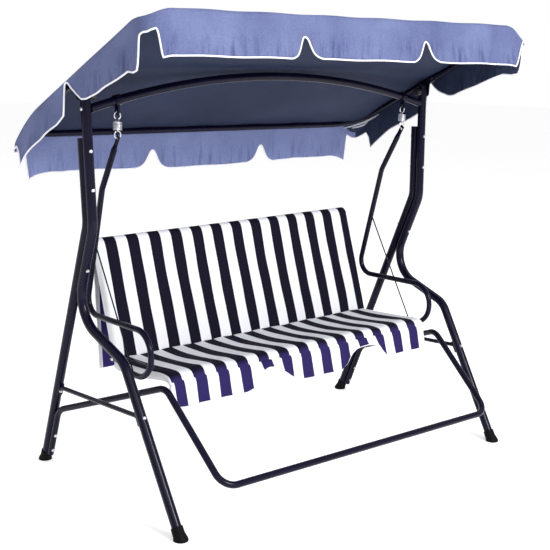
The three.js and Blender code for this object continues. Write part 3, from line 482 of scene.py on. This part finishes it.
for side_name, side in SIDES.items():
    x = side * HANG_X
    hole = Vector((x, HANG_Y, 1171.4))
    down = Vector((0, 101, -168.4)).normalized()
    tongue = [hole + down * reach for reach in (-12, -6, 0, 6, 12, 18, 24, 30, 36, 42)]
    rest_of_arm = [(x, 136, 1003), (x, 255, 566), (x, -150, 571), (x, -150, 415), (x, 10, 415),
                   (side * 591.1, 95, 412), (side * 591.1, 180, 412)]
    arm_bends = [0] * len(tongue) + [60, 55, 78, 78, 55, 55, 0]
    arm = bent_tube(f"{side_name}_arm_tube", [tuple(p) for p in tongue] + rest_of_arm, arm_bends, 10,
                    frame_paint, sides=28, steps=14)
    pressed(arm, hole, down, x, 22, 20, 0.25)
    drilled(arm, hole, 5.5)
    fitted(arm, "seat", "frame_paint", f"{side_name}_arm")
    top, foot = Vector((x, 187, 815)), Vector((x, -47, 415))
    along = (foot - top).normalized()
    rod = lofted(f"{side_name}_stay_rod_round", [ring(top + along * reach, along, r, 20) for reach, r in
                 ((-13, 3.0), (-12, 4.2), (-8.5, 4.5), (-8, 2.5), ((foot - top).length + 8, 2.5),
                  ((foot - top).length + 8.5, 4.5), ((foot - top).length + 12, 4.2),
                  ((foot - top).length + 13, 3.0))], frame_paint)
    fitted(rod, "seat", "frame_paint", f"{side_name}_stay_rod")


# ---- Seat frame ----------------------------------------------------------------------------------
# A 25 mm tube bends up at each side of the seat and back, and rails join the two sides inside the cover.
SEAT_X, BACK_SLOPE = 568, 0.2507


def back_y(z):
    return 210 + BACK_SLOPE * (z - 441)


for side_name, side in SIDES.items():
    side_line = [(side * SEAT_X, y, z) for y, z in ((-146, 412), (back_y(412), 412), (back_y(798), 798))]
    seat_tube = bent_tube(f"{side_name}_seat_side_tube", side_line, (0, 45, 0), 12.5, frame_paint,
                          sides=28, steps=14)
    fitted(seat_tube, "seat", "frame_paint", f"{side_name}_seat_side")
for rail_name, y, z, half, radius in (
        ("front_rail", -150, 412, 580, 12.5),
        ("rear_rail", back_y(452), 452, 555, 10),
        ("top_rail", back_y(790), 790, 555, 10)):
    rail = bent_tube(rail_name + "_tube", [(-half, y, z), (half, y, z)], (0, 0), radius, frame_paint,
                     sides=28)
    fitted(rail, "seat", "frame_paint", rail_name)


# ---- Canopy rails and knobs ----------------------------------------------------------------------
# Two bent 22 mm rails meet in the tilting brackets. A black ribbed knob inside each leg clamps the tilt.
RAIL_X, RAIL_BEND = 791, 130
FRONT_CORNER, REAR_CORNER = (-375, 1545), (449.7, 1165)
FALL = (REAR_CORNER[1] - FRONT_CORNER[1]) / (REAR_CORNER[0] - FRONT_CORNER[0])


def rail_z(y):
    return FRONT_CORNER[1] + FALL * (y - FRONT_CORNER[0])


for end, corner, start in (("front", FRONT_CORNER, 36.2), ("rear", REAR_CORNER, 37.8)):
    half_line = [(-RAIL_X, start, rail_z(start)), (-RAIL_X, *corner)]
    rail_line = half_line + [(-px, py, pz) for px, py, pz in half_line[::-1]]
    rail = bent_tube(f"canopy_{end}_rail_tube", rail_line, (0, RAIL_BEND, RAIL_BEND, 0), 11, frame_paint,
                     sides=28, steps=18)
    fitted(rail, "canopy", "frame_paint", f"canopy_{end}_rail")


def moulded_plastic(s):
    return {"Base Color": s.noise(40.0).mixed((0.011, 0.011, 0.013, 1), (0.020, 0.020, 0.024, 1)),
            "Roughness": s.noise(25.0) * 0.12 + 0.33, "Normal": s.noise(800.0, 2.0).bumped(0.0002, 0.3)}


knob_plastic = finish_named("moulded_black_plastic", moulded_plastic)
PIVOT_Y, PIVOT_Z = 37, 1312
for side_name, side in SIDES.items():
    knob_rings = [ring((side * kx, PIVOT_Y, PIVOT_Z), (side, 0, 0), r, 96, 12, depth) for kx, r, depth in (
        (721.8, 9, 0), (722, 12, 0.01), (723.5, 15, 0.05), (726, 15.4, 0.05), (737, 15.4, 0.05),
        (740, 14.4, 0.03), (741.8, 9, 0), (741.9, 4, 0), (785.8, 4, 0), (786, 3.4, 0))]
    knob = lofted(f"{side_name}_tilt_knob", knob_rings, knob_plastic)
    fitted(knob, f"{side_name}_knob", "knob_plastic", f"{side_name}_canopy_knob")


# ---- Canopy cloth --------------------------------------------------------------------------------
# One blue coated sheet lies over the rails and the arch bar and hangs down in scalloped valances on all
# four sides. Its square corners droop past the bent rails. Its inside is painted darker as painted shade,
# and the rear valance's inside is painted lighter as painted light.
CLOTH_X, CLOTH_FRONT, CLOTH_REAR, CORNER_SOFT = 806.0, -387.0, 462.0, 42.0
FRONT_NOTCHES, REAR_NOTCHES, NOTCH_RISE = (-241, 299), (-230, 286), 66.0
FRONT_HALVES, REAR_HALVES = (48.0, 80.0), (74.0, 62.0)
RAIL_COVER, CROWN_Y, CROWN_RISE, CROWN_REACH, SAG, RIPPLE = 12.5, 58, 29.5, 190, 13, 2.2
DOWN = 15


def notch_shape(distance, halves):
    """A bell with wide feet: 1 in the middle of a notch, 0 at its two half widths."""
    q = min(abs(distance) / halves[distance > 0], 1.0)
    return max(0.0, 1 / (1 + (q / 0.37) ** 2.6) - 0.07 * q)


def canopy_top(x, y):
    """Height of the cloth's top surface: rails, a crown over the arch, and corners that droop."""
    side_share, mid = x / CLOTH_X, math.exp(-((y - CROWN_Y) / CROWN_REACH) ** 2)
    rise = RAIL_COVER + CROWN_RISE * (1 - side_share ** 2) * mid
    span = max(0.0, (HANG_Y - y) / 410 if y < HANG_Y else (y - HANG_Y) / 420)
    rise -= SAG * math.sin(math.pi * min(span, 1.0)) * (1 - side_share ** 6)
    to_end = max(0.0, 1 - (CLOTH_X - abs(x)) / 150) * max(0.0, 1 - (CLOTH_REAR - y) / 205)
    rise -= 64 * to_end ** 2
    front = max(0.0, 1 - (CLOTH_X - abs(x)) / 80) * max(0.0, 1 - (y - CLOTH_FRONT) / 80)
    rise -= 26 * front ** 1.5
    rise -= RIPPLE * math.sin(x / 38 + y / 90) * (1 - mid) * 0.5
    return rail_z(y) + rise


# The side valance's drop at each Y, front to rear: a short tab, the long front scallop, and the rear one.
SIDE_HEM = [(-389, 44), (-366, 45), (-356, 50), (-350, 66), (-344, 118), (-339, 146), (-330, 149),
            (-307, 139), (-74, 115), (-47, 105), (-5, 72), (22, 44), (40, 20), (52, 13), (59, 16), (65, 60),
            (69, 106), (120, 113), (260, 112), (350, 118), (376, 121), (386, 70), (402, 36), (430, 24),
            (464, 22)]


def hem_depth(edge, x, y):
    """How far the cloth hangs below its top edge."""
    if edge == "side":
        return float(np.interp(y, *zip(*SIDE_HEM)))
    if edge == "front":
        full = 134.0 + 5.0 * x / CLOTH_X
        for notch in FRONT_NOTCHES:
            full -= NOTCH_RISE * notch_shape(x - notch, FRONT_HALVES)
        turn = min(1.0, max(0.0, (abs(x) - 756) / 20))
        return full + (44 - full) * (turn * turn * (3 - 2 * turn)) ** 0.8
    full = 146.0 + 5.0 * math.cos(x / 190)
    for notch in REAR_NOTCHES:
        full -= NOTCH_RISE * notch_shape(x - notch, REAR_HALVES)
    return full + (24 - full) * min(1.0, max(0.0, (abs(x) - 742) / 12))


def soft_corner(x, y):
    """Rounds the plan's square corners a little."""
    middle, half = (CLOTH_FRONT + CLOTH_REAR) / 2, (CLOTH_REAR - CLOTH_FRONT) / 2
    a, b = abs(x) - (CLOTH_X - CORNER_SOFT), abs(y - middle) - (half - CORNER_SOFT)
    if a > 0 and b > 0:
        a, b = a / CORNER_SOFT, b / CORNER_SOFT
        a, b = a * math.sqrt(1 - b * b / 2), b * math.sqrt(1 - a * a / 2)
        x = math.copysign(CLOTH_X - CORNER_SOFT + a * CORNER_SOFT, x)
        y = middle + math.copysign(half - CORNER_SOFT + b * CORNER_SOFT, y - middle)
    return x, y


def spaced(low, high, wide, *close):
    """Stations along an edge, wide apart on plain cloth and close together at the notches."""
    stations = [low]
    while stations[-1] < high:
        here = stations[-1]
        stations.append(here + (3.0 if any(a < here < b for a, b in close) else wide))
    stations = np.array(stations)
    return stations - (stations[-1] - high) * (stations - low) / (stations[-1] - low)


close_x = [(n - 60, n + 60) for n in FRONT_NOTCHES + REAR_NOTCHES] + [(-790, -730), (730, 790)]
xs = spaced(-CLOTH_X, CLOTH_X, 10.0, *close_x)
ys = spaced(CLOTH_FRONT, CLOTH_REAR, 9.0, (-365, -325), (30, 76), (370, 410))
ACROSS, ALONG = len(xs) - 1, len(ys) - 1
cloth_points, cloth_uvs = [], []
for y in ys:
    for x in xs:
        px, py = soft_corner(x, y)
        cloth_points.append((px, py, canopy_top(px, py)))
        cloth_uvs.append((x / 1000, y / 1000))
top_index = lambda i, j: j * (ACROSS + 1) + i
rim = ([("front", i, 0) for i in range(ACROSS)] + [("right", ACROSS, j) for j in range(ALONG)]
       + [("rear", i, ALONG) for i in range(ACROSS, 0, -1)] + [("left", 0, j) for j in range(ALONG, 0, -1)])


def folds(edge, x, y, t):
    """Outward swell of a valance in millimetres, from its top edge (t 0) to its hem (t 1)."""
    def group(at, middle, reach, height, wave, slant, power):
        amount = height * math.exp(-((at - middle) / reach) ** 2) * t ** power
        return amount * math.sin((at + slant * t) / wave)

    if edge == "front":
        swell = group(x, 610, 130, 8, 12.5, 40, 0.7) + group(x, -330, 80, 5.5, 9, 60, 2)
        swell += group(x, 110, 150, 4.5, 10, 50, 2.2) + group(x, -640, 110, 4, 11, 40, 2)
        swell += group(x, 0, 600, 3, 70, 20, 1)
        return swell + 3 + 8 * t * t
    if edge == "rear":
        swell = group(x, 500, 160, 6, 15, 30, 1) + group(x, -620, 120, 5, 10, 40, 1.6)
        swell += group(x, 0, 700, 3, 47, 30, 1)
        return swell + 3 + 3 * t
    return group(y, -60, 170, 4, 21, -40, 1.4) + group(y, 260, 150, 4, 26, 40, 1) + 2 + 7 * t * t


rows = [[top_index(i, j) for _, i, j in rim]]
hem_line = []
for step in range(1, DOWN + 1):
    t, row = step / DOWN, []
    for place, (edge, i, j) in enumerate(rim):
        x, y = soft_corner(xs[i], ys[j])
        ex, ey = xs[i], ys[j]
        near_x, near_y = CLOTH_X - abs(ex) < 1, (ey - CLOTH_FRONT < 1) or (CLOTH_REAR - ey < 1)
        kind = edge if edge in ("front", "rear") else "side"
        depth = hem_depth(kind, x, y) if not (near_x and near_y) else (46 if ey < 0 else 24)
        out = folds(kind, x, y, t)
        if kind == "side":
            normal = Vector((math.copysign(1, x), 0, 0))
        else:
            normal = Vector((0, -1 if kind == "front" else 1, 0))
        from_corner = math.hypot(CLOTH_X - abs(x), min(y - CLOTH_FRONT, CLOTH_REAR - y))
        corner_near = math.exp(-(from_corner / 45) ** 2)
        diagonal = Vector((math.copysign(1, x), -1 if y < 0 else 1, 0)).normalized()
        normal = (normal * (1 - corner_near) + diagonal * corner_near).normalized()
        settle = min(1.0, t * 6)
        if kind == "side":
            y -= 17 * math.exp(-((y + 342) / 13) ** 2) * max(0.0, (t - 0.72) / 0.28)
        reach = math.hypot(CLOTH_X - abs(x), y - CLOTH_FRONT)
        flare = (36 if x > 0 else 8) * math.exp(-(reach / 62) ** 2) * t if y < 0 else 0.0
        swell = out * settle * (1 - 0.5 * corner_near) + flare
        point = Vector((x, y, canopy_top(x, y) - depth * t)) + normal * swell
        row.append(len(cloth_points))
        cloth_points.append(tuple(point))
        cloth_uvs.append((place * 0.009, 1 + depth * t / 1000))
        if step == DOWN:
            hem_line.append(tuple(point))
    rows.append(row)
cloth_faces = [(top_index(i, j), top_index(i + 1, j), top_index(i + 1, j + 1), top_index(i, j + 1))
               for j in range(ALONG) for i in range(ACROSS)]
for upper, lower in zip(rows, rows[1:]):
    for k in range(len(rim)):
        n = (k + 1) % len(rim)
        cloth_faces.append((upper[k], lower[k], lower[n], upper[n]))


def cloth_piece(name, points, faces, uvs, materials, thickness, kinds=None):
    """A sheet of cloth in millimetres, given a thickness inwards, with its second face in the second half of
    the finishes.
    """
    mesh = bpy.data.meshes.new(name)
    mesh.from_pydata([metres(p) for p in points], [], faces)
    layer = mesh.uv_layers.new(name="cloth")
    for loop in mesh.loops:
        layer.data[loop.index].uv = uvs[loop.vertex_index]
    mesh.shade_smooth()
    for material in materials:
        mesh.materials.append(material)
    if kinds:
        mesh.polygons.foreach_set("material_index", kinds)
    piece = bpy.data.objects.new(name, mesh)
    bpy.context.scene.collection.objects.link(piece)
    wall = piece.modifiers.new("wall", "SOLIDIFY")
    wall.thickness, wall.offset = thickness / 1000, -1
    wall.material_offset = len(materials) // 2
    bpy.context.view_layer.update()
    solid = bpy.data.meshes.new_from_object(piece.evaluated_get(bpy.context.evaluated_depsgraph_get()))
    piece.modifiers.remove(wall)
    piece.data = solid
    return piece


def coated_weave(light, dark):
    def paint(s):
        """A plain weave under a worn coating: cloudy fading, a fine fleck, and puckers above each hem, whose
        creases are painted darker as painted shade.
        """
        place = s.node("UVMap", {"uv_map": "cloth"})
        u = s.node("SeparateXYZ", (), {"Vector": place}, out="X")
        v = s.node("SeparateXYZ", (), {"Vector": place}, out="Y")
        weave = s.maths("SINE", u * 2400.0) * s.maths("SINE", v * 2400.0)
        stretched = s.node("Mapping", (), {"Vector": place, "Scale": (46.0, 7.0, 1.0)})
        pucker = ((s.noise(1.0, 3.0, stretched) - 0.52) * 5.0).clamped() * ((v - 1.045) * 13.0).clamped()
        fade, crease, fleck = s.noise(5.0, 5.0), s.noise(16.0, 6.0), s.noise(210.0, 3.0)
        # Fading and fleck are the cloth's own tone. The pucker term darkens the colour as painted shade in
        # the puckers' creases.
        fading_and_pucker_shade = (fade * 1.3 + fleck * 0.7 + weave * 0.05 - 0.5 - pucker * 0.6).clamped()
        return {"Base Color": fading_and_pucker_shade.mixed(dark, light), "Roughness": fade * 0.15 + 0.6,
                "Normal": (weave * 0.15 + crease * 2.2 + fleck * 0.5 + pucker * 5.0).bumped(0.0018, 0.6)}
    return paint


canopy_blue = finish_named(
    "coated_blue_cloth", coated_weave((0.175, 0.208, 0.375, 1), (0.060, 0.073, 0.185, 1)),
    Specular_IOR_Level=0.15)
# The canopy's inside: the same coated weave painted much darker, as painted shade under the sheet.
canopy_inside_painted_shade = finish_named(
    "cloth_inside", coated_weave((0.034, 0.044, 0.090, 1), (0.013, 0.018, 0.042, 1)),
    Specular_IOR_Level=0.1)
# Inside the rear valance: the same weave painted lighter, as painted light from the front lamp on and through
# the cloth.
rear_inside_painted_light = finish_named(
    "cloth_inside_lit", coated_weave((0.230, 0.275, 0.500, 1), (0.120, 0.145, 0.300, 1)),
    Specular_IOR_Level=0.1)
# Marks the rear valance's faces. Their inside gets the painted-light finish.
on_rear = [0] * (ALONG * ACROSS) + [int(edge == "rear") for _ in range(DOWN) for edge, _, _ in rim]
canopy = cloth_piece("canopy_scalloped_cloth", cloth_points, cloth_faces, cloth_uvs,
                     [canopy_blue, canopy_blue, canopy_inside_painted_shade, rear_inside_painted_light], 1.4, on_rear)
fitted(canopy, "canopy", "canopy_cloth", "canopy_cover")


def white_tape(s):
    return {"Base Color": s.noise(50.0).mixed((0.70, 0.70, 0.76, 1), (0.84, 0.84, 0.88, 1)),
            "Roughness": s.noise(80.0) * 0.1 + 0.6, "Normal": s.noise(500.0).bumped(0.0003, 0.4)}


piping_white = finish_named("white_binding", white_tape, Sheen_Weight=0.2)
piping = bent_tube("canopy_hem_piping", hem_line, [0] * len(hem_line), 2.8, piping_white,
                   sides=8, closed=True)
fitted(piping, "canopy", "canopy_cloth")
ribbon_lines = {
    "front_right": [(690, -362, 1530), (693, -368, 1518), (690, -372, 1500), (697, -374, 1484),
                    (706, -372, 1470)],
    "rear_right_long": [(700, 425, 1150), (735, 405, 1160), (762, 370, 1176), (776, 330, 1196),
                        (782, 300, 1212)],
    "rear_right_short": [(742, 418, 1150), (760, 392, 1158), (768, 372, 1166), (772, 352, 1180)],
    "rear_left": [(-780, 372, 1186), (-774, 376, 1176), (-764, 382, 1170), (-748, 388, 1170),
                  (-728, 394, 1172)],
}


RIBBON_WIDTH, RIBBON_STEPS = 7.0, 28


def ribbon(name, line):
    """A flat cotton tie that twists a little along its length."""
    line = np.array(line, float)
    places = np.linspace(0, len(line) - 1, RIBBON_STEPS + 1)
    eased = np.array([np.interp(places, range(len(line)), line[:, axis]) for axis in range(3)]).T
    for _ in range(4):
        eased[1:-1] = (eased[:-2] + 2 * eased[1:-1] + eased[2:]) / 4
    points, uvs = [], []
    for k, centre in enumerate(eased):
        twist = 0.5 + 0.9 * math.sin(k / 9)
        half = Vector((math.cos(twist), math.sin(twist) * 0.4, math.sin(twist))) * RIBBON_WIDTH / 2
        for c, share in enumerate((-1, 0, 1)):
            points.append(tuple(Vector(centre) + half * share))
            uvs.append((c * 0.003, k * 0.006))
    faces = [(k * 3 + c, k * 3 + c + 1, k * 3 + c + 4, k * 3 + c + 3)
             for k in range(RIBBON_STEPS) for c in range(2)]
    return cloth_piece(name, points, faces, uvs, [piping_white], 1.0)


ribbons = [ribbon("tie_" + name, line) for name, line in ribbon_lines.items()]
for tie in ribbons:
    fitted(tie, "canopy", "canopy_cloth")


# ---- Seat and back covers ------------------------------------------------------------------------
# Woven polyester with navy and white stripes, lightly padded. The seat cover wraps the front rail and
# hangs in a scalloped valance. The back cover goes over the top rail and down behind as a loose flap.
COVER_HALF, STRIPE, NAVY_WIDTH, VALANCE_TOP = 584.0, 90.5, 46, 0.115
VALANCE_NAVY = (0.020, 0.013, 0.085, 1)


def striped_weave(shift, navy, valance=False):
    """Navy and white stripes, shifted along X in millimetres. The valance's navy is more purple."""
    deep, faded = (tuple(share * c for c in navy) + (1,) for share in (0.75, 1.3))

    def paint(s):
        """Broad even stripes, a plain weave, soft creases, and a little fading along the folds."""
        woven = s.node("UVMap", {"uv_map": "cloth"})
        u = s.node("SeparateXYZ", (), {"Vector": woven}, out="X")
        v = s.node("SeparateXYZ", (), {"Vector": woven}, out="Y")
        wander = s.noise(9.0, 2.0) * 0.003 - 0.0015
        cell = s.maths("FRACT", (u + wander - shift / 1000) / (STRIPE / 1000) + 100.5) - 0.5
        inside = ((COVER_HALF / 1000 - abs(u)) * 900.0).clamped()
        edge = ((NAVY_WIDTH / 2 / STRIPE - abs(cell)) * 160.0 + 0.5).clamped() * inside
        weave = s.maths("SINE", u * 3100.0) * s.maths("SINE", v * 3100.0)
        wear, crease = s.noise(5.0, 5.0), s.noise(22.0, 5.0)
        hanging = ((VALANCE_TOP - v) * 60.0).clamped() * (1.0 if valance else 0.0)
        dark = hanging.mixed(wear.mixed(deep, faded), VALANCE_NAVY)
        pale = wear.mixed((0.74, 0.75, 0.80, 1), (0.86, 0.87, 0.90, 1))
        return {"Base Color": edge.mixed(pale, dark), "Roughness": wear * 0.15 + 0.68,
                "Normal": (weave * 0.1 + crease * 1.6).bumped(0.0016, 0.5)}
    return paint


SEAT_SHIFT, BACK_SHIFT = -385, -435
seat_stripes = finish_named("striped_seat_cloth", striped_weave(SEAT_SHIFT, (0.0050, 0.0035, 0.015), True),
                            Specular_IOR_Level=0.12)
back_stripes = finish_named("striped_back_cloth", striped_weave(BACK_SHIFT, (0.0042, 0.0028, 0.012)),
                            Specular_IOR_Level=0.12)


def even_line(points, step):
    """Cuts the corners of a line three times and spaces its points evenly."""
    line = np.array(points, float)
    for _ in range(3):
        cut = [(a * 0.75 + b * 0.25, a * 0.25 + b * 0.75) for a, b in zip(line, line[1:])]
        line = np.vstack([line[:1], *cut, line[-1:]])
    lengths = np.concatenate([[0], np.cumsum(np.linalg.norm(np.diff(line, axis=0), axis=1))])
    stops = np.linspace(0, lengths[-1], max(2, int(round(lengths[-1] / step)) + 1))
    return np.array([np.interp(stops, lengths, line[:, k]) for k in range(2)]).T


def cloth_grid(name, rows, materials, thickness, width_at):
    """A sheet from rows of points, each row running along X, with its own width at each column."""
    rows = np.array(rows)
    count, wide = rows.shape[:2]
    points = rows.reshape(-1, 3)
    middle = rows[:, wide // 2]
    travel = np.concatenate([[0], np.cumsum(np.linalg.norm(np.diff(middle, axis=0), axis=1))])
    uvs = [(width_at(r, c) / 1000, float(travel[r]) / 1000) for r in range(count) for c in range(wide)]
    faces = [(r * wide + c, (r + 1) * wide + c, (r + 1) * wide + c + 1, r * wide + c + 1)
             for r in range(count - 1) for c in range(wide - 1)]
    return cloth_piece(name, [tuple(p) for p in points], faces, uvs, materials, thickness)


VALANCE_HEM = [(-584, 332), (-560, 327), (-537, 325), (-290, 327), (-262, 334), (-244, 360), (-222, 388),
               (-196, 396), (-168, 392), (-130, 374), (-95, 350), (-62, 331), (-30, 328), (150, 330),
               (176, 346), (196, 380), (220, 396), (285, 401), (330, 394), (352, 368), (374, 347),
               (563, 345), (584, 350)]
SEAT_LINE = [(168, 426), (152, 421), (110, 421), (60, 423), (0, 427), (-70, 433), (-115, 437), (-144, 439),
             (-160, 436), (-168, 428), (-171, 421)]
SIDE_DROP, TILT, EDGE_ROUND, VALANCE_ROWS = 24.0, 11.0, 6, 14
stations = np.linspace(-COVER_HALF - SIDE_DROP, COVER_HALF + SIDE_DROP, 153)


def over_edge(station):
    """A station across the cover as its X and how far it has come down over the side tube."""
    flat_half = COVER_HALF - EDGE_ROUND
    past = max(0.0, abs(station) - flat_half)
    turn = min(past / 10, 1.0)
    x = math.copysign(min(abs(station), flat_half) + EDGE_ROUND * math.sin(turn * math.pi / 2), station)
    return x, past * turn


seat_rows = []
for y, z in even_line(SEAT_LINE, 8):
    row = []
    for station in stations:
        x, drop = over_edge(station)
        share = x / COVER_HALF
        deep = max(0.0, math.sin(math.pi * min(max((y + 158) / 318, 0), 1)))
        sag = 4 * (1 - share ** 6) * deep
        waves = deep * (1.6 * math.sin(x / 46 + y / 75) + 1.0 * math.sin(x / 21 - y / 40))
        front = math.exp(-((y + 150) / 26) ** 2) * (2.2 * math.sin(x / 37 + 1) + 1.4 * math.sin(x / 15))
        more = 0.6 + 0.6 * min(max((y + 168) / 220, 0), 1)
        row.append((x, y, z - sag + waves * 0.7 + front + TILT * share - drop * more))
    seat_rows.append(row)
seam_y, seam_z = SEAT_LINE[-1]
seam_row = len(seat_rows) - 1
for step in range(1, VALANCE_ROWS + 1):
    t = step / VALANCE_ROWS
    row = []
    for station in stations:
        x, drop = over_edge(station)
        hem = float(np.interp(x, *zip(*VALANCE_HEM)))
        start = seam_z + TILT * x / COVER_HALF - drop * 0.6
        tuck = 3.5 * math.exp(-((t - 0.1) / 0.09) ** 2)
        sway = 20 * t ** 1.2 - tuck + t * (3.2 * math.sin(x / 52 + 0.4) + 1.8 * math.sin(x / 17 + 2 * t))
        row.append((x, seam_y - sway, start - max(start - hem, 10) * t))
    seat_rows.append(row)
valance_hem_line = [tuple(p) for p in seat_rows[-1]]
seat_last = len(seat_rows) - 1
seat_cover = cloth_grid("seat_striped_cover", seat_rows[::-1], [seat_stripes], 5.0,
                        lambda r, c: stations[c] - (9.0 if seat_last - r > seam_row else 0.0))
fitted(seat_cover, "seat", "striped_cloth", "seat_cover")
valance_binding = bent_tube("seat_valance_binding", valance_hem_line, [0] * len(valance_hem_line), 2.4,
                            piping_white, sides=8)
side_bindings = []
for side_name, column in (("left", 0), ("right", -1)):
    edge = [tuple(row[column]) for row in seat_rows[2:]]
    side_bindings.append(bent_tube(f"seat_{side_name}_binding", edge, [0] * len(edge), 2.8, piping_white,
                                   sides=8))
for piece in (valance_binding, *side_bindings):
    fitted(piece, "seat", "striped_cloth")

BACK_LINE = [(153, 423), (156, 434), (171, 488), (213, 617), (261, 755), (274, 792), (282, 808), (293, 817.5),
             (306, 817.5), (318, 808), (321, 796), (301, 728), (286, 560), (268, 363)]
back_rows, flap_shift = [], []
for y, z in even_line(BACK_LINE, 8):
    row = []
    behind = y > 262 and z < 790 and y > 150 + (z - 425) * 0.3435 + 14
    tall = min(max((z - 430) / 385, 0), 1)
    wrap = 0.12 if behind or z > 800 else 1.0
    for station in stations:
        x, drop = over_edge(station)
        share = x / COVER_HALF
        belly = 0.0 if behind else 7 * math.sin(math.pi * tall) * (1 - share ** 6)
        soft = 0.4 + 0.6 * math.sin(math.pi * tall)
        waves = soft * (1.7 * math.sin(x / 60 + z / 55) + 1.0 * math.sin(x / 24 - z / 31))
        low = math.exp(-(z - 425) / 28) * (2.4 * math.sin(x / 33) + 1.4 * math.sin(x / 13))
        if behind:
            low, waves = 0.0, waves * 0.5 + (1 - tall) * 3.5 * math.sin(x / 90 + 1)
        droop = TILT * share * (1.25 if share > 0 and z > 780 else 1.0)
        back = drop * wrap * (-1 if behind else 1)
        row.append((x, y + belly + waves * 0.8 + low + back, z + droop))
    back_rows.append(row)
    flap_shift.append(16.0 * (1 - tall) ** 0.3 if behind else 0.0)
# The rows climb the front, so the sheet's own faces look inwards and its first finish is the inside's.
back_inside = finish_named("striped_cloth_inside", striped_weave(BACK_SHIFT, (0.034, 0.022, 0.14)),
                           Specular_IOR_Level=0.1)
back_cover = cloth_grid("back_striped_cover", back_rows, [back_inside, back_stripes], 5.0,
                        lambda r, c: stations[c] * 0.985 + flap_shift[r])
fitted(back_cover, "seat", "striped_cloth", "back_cover")

# ---- Materials -----------------------------------------------------------------------------------
# Stops with an error if any mesh is left without a material.
for obj in list(bpy.context.scene.objects):
    if obj.type == "MESH" and not obj.data.materials:
        raise RuntimeError("no material on " + obj.name)
